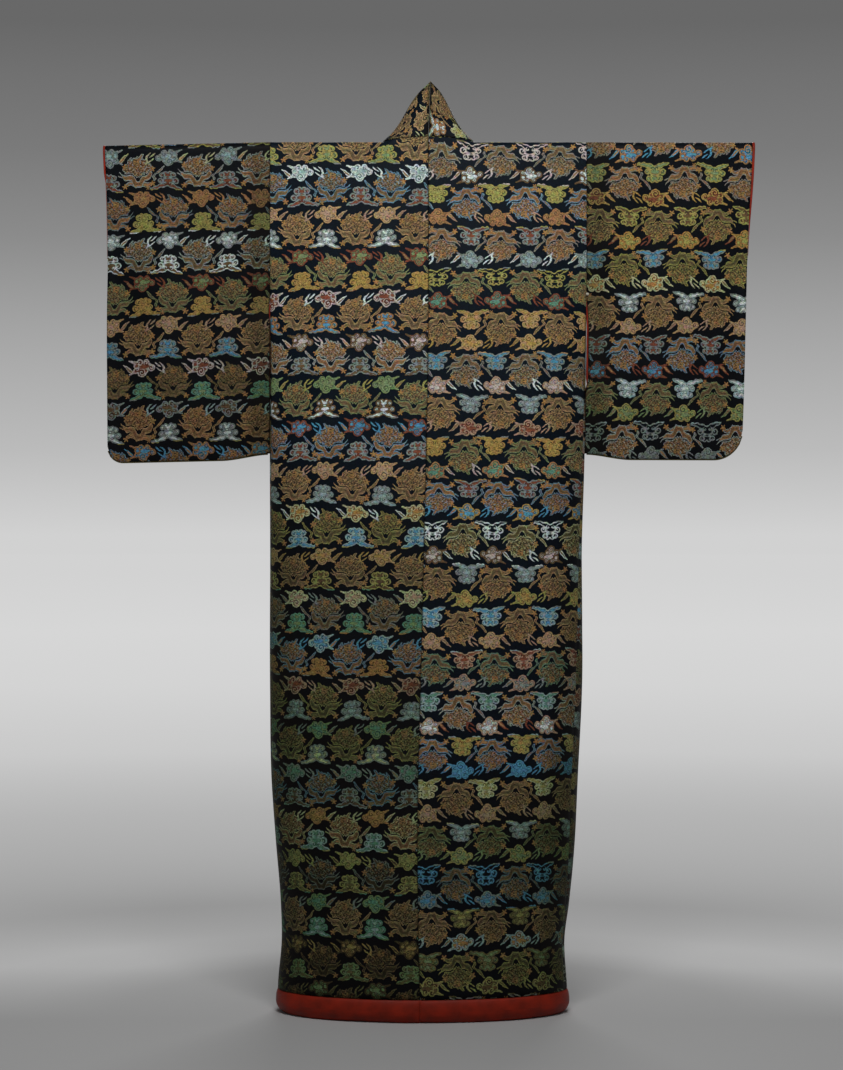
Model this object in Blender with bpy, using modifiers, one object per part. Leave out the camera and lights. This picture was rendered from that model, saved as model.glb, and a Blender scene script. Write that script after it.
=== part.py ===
"""A padded brocade kosode, filled out as if worn, with its sleeves held straight out.

Metres, +Z up. The origin is the top of the centre back seam, on the shoulder line. The back of the garment
faces -Y and its front +Y, so the wearer's right is +X. The fronts are closed left over right.

Every body piece lies on one wrapped surface, given by two lengths: the drop below the shoulder line, and the
arc round the body from the centre back seam, positive towards the wearer's right. A section at any drop is
flat at the shoulders and oval at the hem, and pieces on it keep the width of the cloth they are cut from.
"""

import math

import bmesh
import bpy
import numpy as np

# Cloth
WALL = 0.003
COLLAR_WALL = 0.004
SEAM_GAP = 0.0004

# Body lengths, each one loom width
SHOULDER_HEIGHT = 1.648
SLOT_ENDS = 0.200
OVAL_STARTS = 0.340
SEAM_STRAYS_FROM = 0.450
LOOM_WIDTH = 0.309
SHOULDER_FOLD = 0.014
ARMHOLE_DEPTH = 0.300
ARMHOLE_HALF_GAP = 0.014
NECK_HALF_WIDTH = 0.086
NECK_RISE = 0.0095
NECKLINE_DEPTH = 0.210

# How far the fronts part where they lie over each other, by drop and by arc
LAP = 0.0036
LAP_AT_HEM = 0.0080
LAP_DROPS = (0.000, 0.060)
LAP_WIDENS = (1.280, 1.600)
LAP_ARCS = (0.315, 0.450)

# Overlaps, which are sewn to the front edges
OVERLAP_TOP = 0.225
OVERLAP_AT_COLLAR_END = 0.165
OVERLAP_AT_HEM = 0.172

# Collar
COLLAR_WIDTH = 0.108
COLLAR_END = 0.780
COLLAR_LEAN = 0.0026
COLLAR_TILT = 0.004
COLLAR_SAG = (0.001, 0.002)
COLLAR_TURN = 0.040
COLLAR_TILT_LENGTH = 0.060
COLLAR_LIES_FLAT = (0.040, 0.100)

# Sleeves
SLEEVE_DEPTH = 0.600
SLEEVE_LENGTH = 0.310
SLEEVE_RISE = 0.010
SLEEVE_CORNER = {"left": 0.030, "right": 0.055}
SLEEVE_DROOP = {"left": 0.007, "right": 0.001}
SLEEVE_SWELL = 0.017
WRIST_OPENING = 0.230
WRIST_HALF_GAP = 0.011
SLIT_HALF_GAP = 0.008
LAYER_HALF_GAP = 0.0017

# Red lining where it shows
HEM_ROLL_HEIGHT = 0.044
HEM_ROLL_THICKNESS = 0.015
HEM_ROLL_INSET = 0.0020
HEM_ROLL_TUCK = 0.0065
WRIST_EDGE_RADIUS = {"left": 0.0021, "right": 0.0026}
SLIT_EDGE_RADIUS = 0.0013

# The body's section at each drop: middle, half width, half depth, and where the centre back seam runs
SECTION_COLUMNS = ("drop", "centre_x", "half_width", "half_depth", "seam_x")
SECTIONS = np.array([
    (0.000, 0.0000, 0.2995, 0.0150, 0.0000),
    (0.150, 0.0000, 0.2995, 0.0310, 0.0000),
    (0.300, 0.0000, 0.2995, 0.0480, 0.0000),
    (0.450, -0.0010, 0.2985, 0.0630, -0.0015),
    (0.600, -0.0022, 0.2975, 0.0760, -0.0045),
    (0.750, -0.0042, 0.2950, 0.0880, -0.0080),
    (1.040, -0.0042, 0.2950, 0.1090, -0.0150),
    (1.210, -0.0068, 0.2895, 0.1200, -0.0195),
    (1.324, -0.0055, 0.2828, 0.1270, -0.0205),
    (1.438, -0.0062, 0.2730, 0.1320, -0.0195),
    (1.510, -0.0098, 0.2672, 0.1360, -0.0185),
    (1.604, -0.0110, 0.2732, 0.1390, -0.0160),
    (1.648, -0.0104, 0.2732, 0.1390, -0.0160),
])

# How far each sleeve's cloth reaches from the centre back seam, at each drop
REACH_COLUMNS = ("drop", "left", "right")
REACHES = np.array([
    (0.000, 0.6130, 0.6145),
    (0.060, 0.6110, 0.6125),
    (0.120, 0.6090, 0.6090),
    (0.200, 0.6085, 0.6062),
    (0.330, 0.6105, 0.6030),
    (0.470, 0.6100, 0.5995),
    (0.600, 0.6090, 0.5950),
])

# Clearance between the body and each sleeve's inner edge, by drop: sewn in the armhole, hanging free below
CLEARANCES = np.array([
    (0.150, SEAM_GAP),
    (0.260, 0.0013),
    (0.300, 0.0025),
    (0.350, 0.0052),
])

# The collar's free edge where it stands at the neck, by length along the neckline from the centre back, and
# how far the left half lies in front of the middle there, and the right half behind it
NECK_COLUMNS = ("along", "x", "y", "z", "parting")
NECK_EDGE = np.array([
    (0.000, 0.0002, -0.0205, 0.1135, 0.000),
    (0.010, 0.0060, -0.0202, 0.1070, 0.000),
    (0.030, 0.0165, -0.0150, 0.0960, 0.000),
    (0.050, 0.0262, -0.0030, 0.0845, 0.000),
    (0.070, 0.0360, 0.0140, 0.0710, 0.001),
    (0.088, 0.0420, 0.0300, 0.0600, 0.003),
    (0.135, 0.0060, 0.0430, 0.0200, 0.007),
])

# Rows and columns of the sheets
FOLD_DROPS = tuple(SHOULDER_FOLD * (1 - math.cos(math.radians(angle))) for angle in (0, 35, 65, 90))
UPPER_DROPS = np.array(FOLD_DROPS + (0.032, 0.060, 0.100, 0.150, 0.210, 0.260, ARMHOLE_DEPTH))
SHOULDER_COLUMNS = 6
NECK_SEGMENTS = 5
QUARTER = np.linspace(0, math.pi / 2, 121)
SIDE_SLIP = 0.0000001


def smooth(start, end, value):
    """A soft step from 0 at start to 1 at end."""
    share = np.clip((value - start) / (end - start), 0, 1)
    return share * share * (3 - 2 * share)


def along(table, column, at):
    """A column's value on a smooth curve through the table's rows, whose first column is the place."""
    knots = table[:, 0]
    values = table[:, column]
    slopes = np.gradient(values, knots)
    row = np.clip(np.searchsorted(knots, at, side="right") - 1, 0, len(knots) - 2)
    span = knots[row + 1] - knots[row]
    share = np.clip((at - knots[row]) / span, 0, 1)
    start = values[row] * (1 + 2 * share) + slopes[row] * span * share
    end = values[row + 1] * (3 - 2 * share) - slopes[row + 1] * span * (1 - share)
    return start * (1 - share) ** 2 + end * share ** 2


def section(column, drop):
    """A named measure of the body's section at a drop."""
    return along(SECTIONS, SECTION_COLUMNS.index(column), drop)


def fold(drop):
    """The share of its full depth that a folded edge has reached, round at the top."""
    return np.sqrt(1 - (1 - np.clip(drop / SHOULDER_FOLD, 0, 1)) ** 2)


def roundness(drop):
    """0 where the section is a slot, 1 where it is an oval."""
    return smooth(SLOT_ENDS, OVAL_STARTS, drop)


def slot_gap(drop):
    """Half the gap at the end of the slot section."""
    return ARMHOLE_HALF_GAP * fold(drop) * np.sqrt(np.clip(1 - (drop / ARMHOLE_DEPTH) ** 3, 0, 1))


def armhole_half_gap(drop):
    """Half the opening between back and front where the sleeve is sewn in."""
    return slot_gap(drop) * (1 - roundness(drop))


def quarter(drop, unfolded):
    """A quarter of the section at each drop: distance across, depth, and length along it.

    Above the armhole's foot the quarter is a slot, lower down a quarter oval. unfolded is 1 where the cloth
    stands up past the shoulder line instead of folding over it.
    """
    drop = drop[..., None]
    unfolded = unfolded[..., None]
    turn = fold(drop)
    half_depth = section("half_depth", drop) * (turn + (1 - turn) * unfolded)
    gap = np.minimum(slot_gap(drop), half_depth)
    across = section("half_width", drop) * np.sin(QUARTER)
    slot = gap + (half_depth - gap) * (1 - np.sin(QUARTER) ** 2.4)
    oval = half_depth * np.cos(QUARTER)
    depth = slot + (oval - slot) * roundness(drop)
    steps = np.hypot(np.diff(across, axis=-1), np.diff(depth, axis=-1))
    length = np.concatenate([np.zeros(steps.shape[:-1] + (1,)), np.cumsum(steps, axis=-1)], axis=-1)
    return across, depth, length


def seam_shift(drop):
    """Arc from the section's middle to the centre back seam, none down to the armhole's foot."""
    shift = section("seam_x", drop) - section("centre_x", drop)
    return shift * smooth(ARMHOLE_DEPTH, SEAM_STRAYS_FROM, drop)


def quarter_length(drop):
    """Length of a quarter of the section."""
    return quarter(np.asarray(drop, float), np.zeros_like(drop, float))[2][..., -1]


def wrap(drop, arc, layer=0.0, unfolded=0.0):
    """Points on the body's surface at a drop and an arc, moved outwards by layer."""
    together = np.broadcast_arrays(drop, arc, layer, unfolded)
    drop, arc, layer, unfolded = (np.array(item, float) for item in together)
    across, depth, length = quarter(drop, unfolded)
    total = length[..., -1]
    reach = arc + seam_shift(drop)
    side = np.where(reach < 0, -1.0, 1.0)
    reach = np.abs(reach)
    facing = np.where(reach > total, 1.0, -1.0)
    place = np.where(reach > total, 2 * total - reach, reach)
    side = side * np.where(place < 0, -1.0, 1.0)
    place = np.abs(place)[..., None]
    low = np.clip((length <= place).sum(axis=-1, keepdims=True) - 1, 0, length.shape[-1] - 2)

    def ends(values):
        return np.take_along_axis(values, low, -1)[..., 0], np.take_along_axis(values, low + 1, -1)[..., 0]

    length_low, length_high = ends(length)
    share = np.clip((place[..., 0] - length_low) / (length_high - length_low), 0, 1)
    across_low, across_high = ends(across)
    depth_low, depth_high = ends(depth)
    step = length_high - length_low
    x = side * (across_low + (across_high - across_low) * share - layer * (depth_high - depth_low) / step)
    y = facing * (depth_low + (depth_high - depth_low) * share + layer * (across_high - across_low) / step)
    return np.stack([section("centre_x", drop) + x, y, -drop], axis=-1)


def cloth_width(drop):
    """Width of one body length at a drop: the whole loom width, eased in above the armhole's foot."""
    return np.minimum(quarter_length(drop), LOOM_WIDTH)


def front_edge(drop):
    """Arc of the front panel's free edge: the neckline at the top, straight below it."""
    cut = NECK_HALF_WIDTH * np.clip(1 - drop / NECKLINE_DEPTH, 0, 1) ** 1.1
    return 2 * cloth_width(drop) - cut


def overlap_edge(drop):
    """Arc of the overlap's free edge, slanting out to the collar's end and then almost straight."""
    slant = OVERLAP_AT_COLLAR_END * np.clip((drop - NECKLINE_DEPTH) / (COLLAR_END - NECKLINE_DEPTH), 0, 1)
    below = np.clip((drop - COLLAR_END) / (hem_drop() - COLLAR_END), 0, 1)
    return front_edge(drop) + slant + (OVERLAP_AT_HEM - OVERLAP_AT_COLLAR_END) * below


def hem_drop():
    """Drop of the brocade's lower edge, which stands on the hem roll."""
    return SHOULDER_HEIGHT - HEM_ROLL_HEIGHT - SEAM_GAP


def lap(drop, arc, side):
    """Distance that a front lies outside the section, or inside it on the wearer's right."""
    amount = LAP * smooth(*LAP_DROPS, drop) + (LAP_AT_HEM - LAP) * smooth(*LAP_WIDENS, drop)
    return -side * amount * smooth(*LAP_ARCS, np.abs(arc))


def on_body(drop, arc, side, layer=0.0):
    """Points of a front or back piece on one side, at unsigned arcs."""
    return wrap(drop, side * arc, lap(drop, arc, side) + layer)


def grid_faces(rows, columns, first):
    """Quads over a grid of points, whose numbers start at first."""
    corner = (np.arange(rows - 1)[:, None] * columns + np.arange(columns - 1)[None, :]).ravel() + first
    return np.stack([corner, corner + 1, corner + columns + 1, corner + columns], axis=1).tolist()


def material(name, colour, roughness, sheen=0.0):
    """A cloth's plain Principled material."""
    made = bpy.data.materials.new(name)
    made.use_nodes = True
    shader = made.node_tree.nodes["Principled BSDF"]
    shader.inputs["Base Color"].default_value = (*colour, 1)
    shader.inputs["Roughness"].default_value = roughness
    shader.inputs["Metallic"].default_value = 0.0
    shader.inputs["Sheen Weight"].default_value = sheen
    return made


def sheet(name, patches, wall, finish):
    """One cloth piece: grids of points welded where they meet, thickened to both sides."""
    points = []
    faces = []
    for patch in patches:
        faces += grid_faces(patch.shape[0], patch.shape[1], len(points))
        points += patch.reshape(-1, 3).tolist()
    mesh = bpy.data.meshes.new(name)
    mesh.from_pydata(points, [], faces)
    weld(mesh)
    piece = add(name, mesh, finish)
    thicken = piece.modifiers.new("thickness", "SOLIDIFY")
    thicken.thickness = wall
    thicken.offset = 0
    return piece


def weld(mesh):
    """Join points that lie on each other and turn all faces the same way."""
    shape = bmesh.new()
    shape.from_mesh(mesh)
    bmesh.ops.remove_doubles(shape, verts=shape.verts, dist=0.00002)
    bmesh.ops.recalc_face_normals(shape, faces=shape.faces)
    shape.to_mesh(mesh)
    shape.free()


def add(name, data, finish):
    """Put an object with its own material in the garment's collection."""
    data.materials.append(finish)
    piece = bpy.data.objects.new(name, data)
    bpy.data.collections["kosode"].objects.link(piece)
    return piece


def lower_drops():
    """Rows from the armhole's foot to the hem, closer where the outline changes most."""
    inner = [0.38, 0.47, 0.57, 0.675, COLLAR_END, 0.89, 1.0, 1.11, 1.22, 1.32, 1.41, 1.485, 1.55]
    return np.array([ARMHOLE_DEPTH] + inner + [hem_drop()])


def body_columns():
    """Shares of the cloth's width, from the side seam to the centre back seam, and the neck's share."""
    neck = NECK_HALF_WIDTH / float(quarter_length(0.0))
    shoulder = np.linspace(1, neck, SHOULDER_COLUMNS + 1)
    collar_seat = np.linspace(neck, 0, NECK_SEGMENTS + 1)[1:]
    return shoulder, collar_seat


def stands_up(share, neck_share):
    """1 where the back stands up at the nape, 0 from the side of the neck outwards."""
    return smooth(neck_share, neck_share * 0.8, share)


def back_points(side, drops, shares, neck_share):
    """Points of a back panel. Its top edge rises a little between the shoulders, under the collar."""
    drop = drops[:, None] + 0 * shares[None, :]
    share = 0 * drops[:, None] + shares[None, :]
    upright = stands_up(share, neck_share)
    arc = np.maximum(cloth_width(drop) * share - SIDE_SLIP, SEAM_GAP / 2)
    points = wrap(drop, side * arc, 0.0, upright)
    arch = 1 - (share / neck_share) ** 2
    points[..., 2] += NECK_RISE * np.clip(arch, 0, 1) * (1 - smooth(0.0, 0.035, drop))
    return points


def front_points(side, drops, shares):
    """Points of a front panel, from the side seam to its free edge."""
    drop = drops[:, None] + 0 * shares[None, :]
    width = cloth_width(drop)
    arc = width + SIDE_SLIP + (front_edge(drop) - width) * shares[None, :]
    return on_body(drop, arc, side)


def make_body(name, side, finish):
    """One body length: back, shoulder and front in one piece, its side seam closed below the armhole."""
    shoulder, collar_seat = body_columns()
    neck_share = shoulder[-1]
    back_shares = np.concatenate([shoulder, collar_seat])
    front_shares = (1 - shoulder) / (1 - neck_share)
    patches = []
    for drops in (UPPER_DROPS, lower_drops()):
        patches.append(back_points(side, drops, back_shares, neck_share))
        patches.append(front_points(side, drops, front_shares))
    return sheet(name, patches, WALL, finish)


def make_overlap(name, side, finish):
    """The narrow length on the front edge, from a point under the collar down to the hem."""
    drops = np.concatenate([[OVERLAP_TOP], UPPER_DROPS[UPPER_DROPS > OVERLAP_TOP], lower_drops()[1:]])
    drop = drops[:, None]
    shares = np.linspace(0, 1, 4)[None, :]
    start = front_edge(drop) + SEAM_GAP
    end = overlap_edge(drop) - np.where(drop < COLLAR_END - 0.001, SEAM_GAP / 2, 0)
    return sheet(name, [on_body(drop + 0 * shares, start + (end - start) * shares, side)], WALL, finish)


def collar_base(side):
    """The line that the collar is sewn to: points across the nape, then drops and arcs down the front."""
    shoulder, collar_seat = body_columns()
    neck_share = shoulder[-1]
    nape = back_points(side, np.array([0.0]), collar_seat[::-1], neck_share)[0]
    drops = np.concatenate([UPPER_DROPS[:-1], lower_drops()])
    drops = drops[drops <= COLLAR_END + 0.0001]
    arcs = np.where(drops <= NECKLINE_DEPTH, front_edge(drops), overlap_edge(drops))
    return nape, drops, arcs


def make_collar(name, side, finish):
    """Half of the collar band: upright at the nape, leaning forward at the sides, then flat on the front.

    Each row runs across the band, from the seam to the free edge. Near the neck rows are straight lines to
    the free edge's own curve; lower down they lie on the body's wrapped surface, square to the slanting seam.
    """
    nape, drops, arcs = collar_base(side)
    front = on_body(drops, arcs, side)
    base = np.concatenate([nape, front])
    run = np.concatenate([[0], np.cumsum(np.linalg.norm(np.diff(base, axis=0), axis=1))])
    across = np.linspace(0, 1, 5)[None, :]

    slope = np.gradient(arcs, drops)
    scale = np.hypot(slope, 1)
    reach = SEAM_GAP + (COLLAR_WIDTH - SEAM_GAP) * across
    flat_drop = drops[:, None] - (slope / scale)[:, None] * reach
    flat_arc = arcs[:, None] + (1 / scale)[:, None] * reach
    flat = on_body(np.maximum(flat_drop, 0.012), flat_arc, side)

    throat = np.searchsorted(drops, COLLAR_LIES_FLAT[1])
    neck_edge = NECK_EDGE[:, :4] * np.array([1, side, 1, 1])
    neck_edge[:, 2] -= side * NECK_EDGE[:, 4]
    rows = len(nape) + throat + np.arange(2)
    lower = np.column_stack([run[rows], flat[throat:throat + 2, -1]])
    knots = np.concatenate([neck_edge, lower])
    free = np.stack([along(knots, axis, run) for axis in (1, 2, 3)], axis=-1)
    free[:, 0] += COLLAR_TILT * np.exp(-((run / COLLAR_TILT_LENGTH) ** 2))

    seat = base + 0
    seat[0, 0] = side * SEAM_GAP / 2
    ruling = free - seat
    ruling /= np.linalg.norm(ruling, axis=1, keepdims=True)
    lean = np.exp(-((run - run[len(nape)]) / COLLAR_TURN) ** 2)[:, None]
    seat += ruling * (SEAM_GAP + COLLAR_LEAN * lean)
    standing = seat[:, None] + (free - seat)[:, None] * across[..., None]
    sag = 4 * across[..., None] * (1 - across[..., None]) * lean[:, None]
    standing -= sag * np.array([side * COLLAR_SAG[0], 0.0, COLLAR_SAG[1]])

    drop_of_row = np.concatenate([np.zeros(len(nape)), drops])
    flatness = smooth(*COLLAR_LIES_FLAT, drop_of_row)[:, None, None]
    on_front = np.concatenate([np.zeros((len(nape),) + flat.shape[1:]), flat])
    band = standing * (1 - flatness) + on_front * flatness
    return sheet(name, [band], COLLAR_WALL, finish)


def sleeve_bottom(side_name, share):
    """Drop of the sleeve's lower edge, with a rounded outer corner and a slight rise towards the body."""
    radius = SLEEVE_CORNER[side_name]
    into = np.clip(1 - (1 - share) * SLEEVE_LENGTH / radius, 0, 1)
    rise = SLEEVE_RISE * (1 - smooth(0.0, 0.30, share))
    return SLEEVE_DEPTH - rise - radius * (1 - np.sqrt(1 - into ** 2))


def slit_edge_x(side, drop):
    """Where the sleeve's inner edge hangs: at the seam in the armhole, just clear of the body below it."""
    clear = np.interp(drop, CLEARANCES[:, 0], CLEARANCES[:, 1])
    return section("centre_x", drop) + side * (section("half_width", drop) + clear)


def sleeve_half_gap(share, drop, bottom):
    """Half the space between the sleeve's back and front layers."""
    below = np.clip((drop - ARMHOLE_DEPTH) / (bottom - ARMHOLE_DEPTH), 0, 1)
    sewn = armhole_half_gap(drop) + LAYER_HALF_GAP * smooth(0.20, 0.29, drop)
    inner = sewn + SLIT_HALF_GAP * np.sin(math.pi * below)
    depth_share = np.clip(drop / bottom, 0, 1)
    bag = SLEEVE_SWELL * fold(drop) * np.sqrt(1 - depth_share ** 5)
    open_share = np.clip(drop / WRIST_OPENING, 0, 1)
    outer = WRIST_HALF_GAP * fold(drop) * np.sqrt(1 - open_share ** 4)
    gap = inner + (bag - inner) * smooth(0.0, 0.35, share)
    gap = gap + (outer - gap) * smooth(0.70, 1.0, share)
    return np.maximum(gap, LAYER_HALF_GAP * fold(drop))


def sleeve_points(side_name, side, shares, drops, facing):
    """Points of one layer of a sleeve: the back one with facing -1, the front one with 1."""
    share = shares[None, :] + 0 * drops[:, None]
    bottom = sleeve_bottom(side_name, share)
    down = drops[:, None]
    stretch = (bottom - ARMHOLE_DEPTH) / (SLEEVE_DEPTH - ARMHOLE_DEPTH)
    drop = np.where(down <= ARMHOLE_DEPTH, down, ARMHOLE_DEPTH + (down - ARMHOLE_DEPTH) * stretch)
    inner = slit_edge_x(side, drop)
    outer = side * along(REACHES, REACH_COLUMNS.index(side_name), drop)
    x = inner + (outer - inner) * share
    y = facing * sleeve_half_gap(share, drop, bottom)
    z = -drop - SLEEVE_DROOP[side_name] * share
    return np.stack([x, y, z], axis=-1)


def make_sleeve(side_name, side, finish):
    """A sleeve: one length folded along the top, both layers hanging to the sewn lower edge."""
    shares = np.array([0, 0.12, 0.25, 0.40, 0.56, 0.72, 0.84, 0.92, 0.965, 1.0])
    lower = np.array([0.36, 0.43, 0.50, 0.56, SLEEVE_DEPTH])
    drops = np.concatenate([UPPER_DROPS, lower])
    patches = [sleeve_points(side_name, side, shares, drops, facing) for facing in (-1, 1)]
    return sheet("sleeve_" + side_name, patches, WALL, finish)


def make_hem_roll(name, side, finish):
    """Half of the padded hem: an upright oval run round the section, tucked in at the floor, closed at its ends."""
    arcs = np.concatenate([[SEAM_GAP / 2], np.linspace(0.03, float(overlap_edge(np.array(hem_drop()))), 30)])
    angles = np.radians(np.arange(0, 360, 30))
    tuck = HEM_ROLL_TUCK * np.clip(-np.sin(angles), 0, 1) ** 2
    out = HEM_ROLL_THICKNESS / 2 * np.cos(angles) - HEM_ROLL_INSET - tuck
    up = HEM_ROLL_HEIGHT / 2 * np.sin(angles)
    middle = SHOULDER_HEIGHT - HEM_ROLL_HEIGHT / 2
    arc = arcs[:, None] + 0 * angles[None, :]
    layer = lap(middle, arc, side) + out[None, :]
    rings = wrap(middle, side * arc, layer)
    rings[..., 2] = -middle + up[None, :]
    closed = np.concatenate([rings, rings[:, :1]], axis=1)
    mesh = bpy.data.meshes.new(name)
    faces = grid_faces(*closed.shape[:2], 0)
    last = (len(arcs) - 1) * closed.shape[1]
    faces.append(list(range(len(angles))))
    faces.append([last + index for index in range(len(angles))])
    mesh.from_pydata(closed.reshape(-1, 3).tolist(), [], faces)
    weld(mesh)
    return add(name, mesh, finish)


def make_edge(name, points, radii, finish):
    """A thin roll of lining along a cloth's edge: a tube with filled ends."""
    curve = bpy.data.curves.new(name, "CURVE")
    curve.dimensions = "3D"
    curve.bevel_depth = 1.0
    curve.bevel_resolution = 2
    curve.use_fill_caps = True
    spline = curve.splines.new("POLY")
    spline.points.add(len(points) - 1)
    for knot, place, radius in zip(spline.points, points, radii):
        knot.co = (*place, 1)
        knot.radius = radius
    return add(name, curve, finish)


def make_wrist_edge(side_name, side, finish):
    """The lining's roll round the wrist opening: up the back edge, over the fold and down the front edge."""
    down = np.concatenate([UPPER_DROPS[UPPER_DROPS < 0.2], [0.190, 0.214]])
    edge = sleeve_points(side_name, side, np.array([1.0]), down, 1)[:, 0]
    radius = WRIST_EDGE_RADIUS[side_name] * (1 - 0.5 * down / WRIST_OPENING)
    edge[:, 0] += side * (radius + SEAM_GAP)
    back = edge * np.array([1, -1, 1])
    points = np.concatenate([back[:0:-1], edge])
    return make_edge("wrist_edge_" + side_name, points, np.concatenate([radius[:0:-1], radius]), finish)


def make_slit_edge(side_name, side, finish):
    """The lining's roll on the sleeve's loose inner edge: down the back layer, and up the front one."""
    down = np.array([0.315, 0.36, 0.43, 0.50, 0.56, 0.590])
    edge = sleeve_points(side_name, side, np.array([0.0]), down, 1)[:, 0]
    edge[:, 0] -= side * (SLIT_EDGE_RADIUS + SEAM_GAP)
    edge[:, 1] = np.maximum(edge[:, 1], SLIT_EDGE_RADIUS + SEAM_GAP)
    back = edge * np.array([1, -1, 1])
    turn = edge[-1] * np.array([1, 0, 1]) - np.array([0, 0, 0.003])
    points = np.concatenate([back, [turn], edge[::-1]])
    return make_edge("sleeve_slit_edge_" + side_name, points, [SLIT_EDGE_RADIUS] * len(points), finish)


def main():
    """Build the garment in an empty scene."""
    for piece in list(bpy.data.objects):
        bpy.data.objects.remove(piece)
    collection = bpy.data.collections.new("kosode")
    bpy.context.scene.collection.children.link(collection)
    for side_name, side in (("left", -1), ("right", 1)):
        brocade = material("brocade_" + side_name, (0.012, 0.018, 0.026), 0.6, 0.3)
        red_silk = material("red_silk_" + side_name, (0.28, 0.035, 0.015), 0.6, 0.2)
        make_body("body_" + side_name, side, brocade)
        make_overlap("overlap_" + side_name, side, brocade.copy())
        make_sleeve(side_name, side, brocade.copy())
        make_collar("collar_" + side_name, side, brocade.copy())
        make_hem_roll("hem_roll_" + side_name, side, red_silk)
        make_wrist_edge(side_name, side, red_silk.copy())
        make_slit_edge(side_name, side, red_silk.copy())


main()
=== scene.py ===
"""A padded brocade kosode, filled out as if worn, in a plain pale studio.

Metres, +Z up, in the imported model's frame: the origin is the top of the centre back seam, the back faces -Y
and the wearer's right is +X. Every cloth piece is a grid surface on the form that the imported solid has, with
soft creases pressed into it, and a wall of 3 mm. Pattern places are metres of cloth, in each piece's UV map.
"""

import math

import bmesh
import bpy
import numpy as np
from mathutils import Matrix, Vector


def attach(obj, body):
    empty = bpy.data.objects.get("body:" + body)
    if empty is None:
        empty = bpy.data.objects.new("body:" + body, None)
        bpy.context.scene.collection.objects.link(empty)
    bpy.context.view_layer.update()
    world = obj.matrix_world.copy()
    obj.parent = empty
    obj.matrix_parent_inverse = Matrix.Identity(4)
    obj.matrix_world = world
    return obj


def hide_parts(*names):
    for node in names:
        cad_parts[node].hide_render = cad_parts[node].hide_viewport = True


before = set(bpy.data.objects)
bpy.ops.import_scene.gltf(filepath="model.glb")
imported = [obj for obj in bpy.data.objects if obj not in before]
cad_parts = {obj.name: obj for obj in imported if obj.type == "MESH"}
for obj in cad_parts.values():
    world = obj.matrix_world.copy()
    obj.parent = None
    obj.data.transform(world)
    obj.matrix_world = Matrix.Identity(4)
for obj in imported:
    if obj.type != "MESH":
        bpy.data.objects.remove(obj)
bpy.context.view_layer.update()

# The garment's cut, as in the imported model

MM = 0.001
WALL = 0.003
COLLAR_WALL = 0.004
SEAM_GAP = 0.0004
SHOULDER_HEIGHT = 1.648
SLOT_ENDS = 0.200
OVAL_STARTS = 0.340
SLOT_POWER = 2.4
SEAM_STRAYS_FROM = 0.450
LOOM_WIDTH = 0.309
SHOULDER_FOLD = 0.014
ARMHOLE_DEPTH = 0.300
ARMHOLE_HALF_GAP = 0.014
NECK_HALF_WIDTH = 0.086
NECK_RISE = 0.0095
NECKLINE_DEPTH = 0.210
LAP = 0.0036
LAP_AT_HEM = 0.0080
LAP_DROPS = (0.000, 0.060)
LAP_WIDENS = (1.280, 1.600)
LAP_ARCS = (0.315, 0.450)
OVERLAP_TOP = 0.225
OVERLAP_AT_COLLAR_END = 0.165
OVERLAP_AT_HEM = 0.172
OVERLAP_PATTERN_SHIFT = 0.031
COLLAR_WIDTH = 0.108
COLLAR_END = 0.780
COLLAR_LEAN = 0.0026
COLLAR_TILT = 0.004
COLLAR_SAG = (0.001, 0.002)
COLLAR_TURN = 0.040
COLLAR_TILT_LENGTH = 0.060
COLLAR_LIES_FLAT = (0.040, 0.100)
COLLAR_KNOT_DROPS = (0.100, 0.150)
COLLAR_PATTERN_SHIFT = {"left": 0.108, "right": 0.052}
COLLAR_PUFF = 0.0010
SLEEVE_DEPTH = 0.600
SLEEVE_LENGTH = 0.310
SLEEVE_RISE = 0.010
SLEEVE_CORNER = {"left": 0.030, "right": 0.055}
SLEEVE_DROOP = {"left": 0.007, "right": 0.001}
SLEEVE_SWELL = 0.017
WRIST_OPENING = 0.230
WRIST_HALF_GAP = 0.011
SLIT_HALF_GAP = 0.008
LAYER_HALF_GAP = 0.0017
HEM_ROLL_HEIGHT = 0.044
HEM_ROLL_THICKNESS = 0.015
HEM_ROLL_INSET = 0.0020
HEM_ROLL_TUCK = 0.0065
WRIST_EDGE_RADIUS = {"left": 0.0021, "right": 0.0026}
WRIST_EDGE_THINS = {"left": (0.052, 0.070), "right": (0.100, 0.200)}
SLIT_EDGE_RADIUS = 0.0013
SLIT_TUCK = (0.0036, 0.0040)
OTHER_LAYER = np.array([1, -1, 1])
HEM_DROP = SHOULDER_HEIGHT - HEM_ROLL_HEIGHT - SEAM_GAP

SECTION_COLUMNS = ("drop", "centre_x", "half_width", "half_depth", "seam_x")
SECTIONS = MM * np.array([
    (0, 0, 299.5, 15, 0), (150, 0, 299.5, 31, 0), (300, 0, 299.5, 48, 0), (450, -1, 298.5, 63, -1.5),
    (600, -2.2, 297.5, 76, -4.5), (750, -4.2, 295, 88, -8), (1040, -4.2, 295, 109, -15),
    (1210, -6.8, 289.5, 120, -19.5), (1324, -5.5, 282.8, 127, -20.5), (1438, -6.2, 273, 132, -19.5),
    (1510, -9.8, 267.2, 136, -18.5), (1604, -11, 273.2, 139, -16), (1648, -10.4, 273.2, 139, -16),
])
REACH_COLUMNS = ("drop", "left", "right")
REACHES = MM * np.array([
    (0, 613, 614.5), (60, 611, 612.5), (120, 609, 609), (200, 608.5, 606.2), (330, 610.5, 603),
    (470, 610, 599.5), (600, 609, 595),
])
# Drops, and how far a sleeve's inner edge lies outside the body there
CLEARANCES = MM * np.array([(150, 0.4), (290, 0.8), (315, 3.1), (350, 5.2)])
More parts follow.
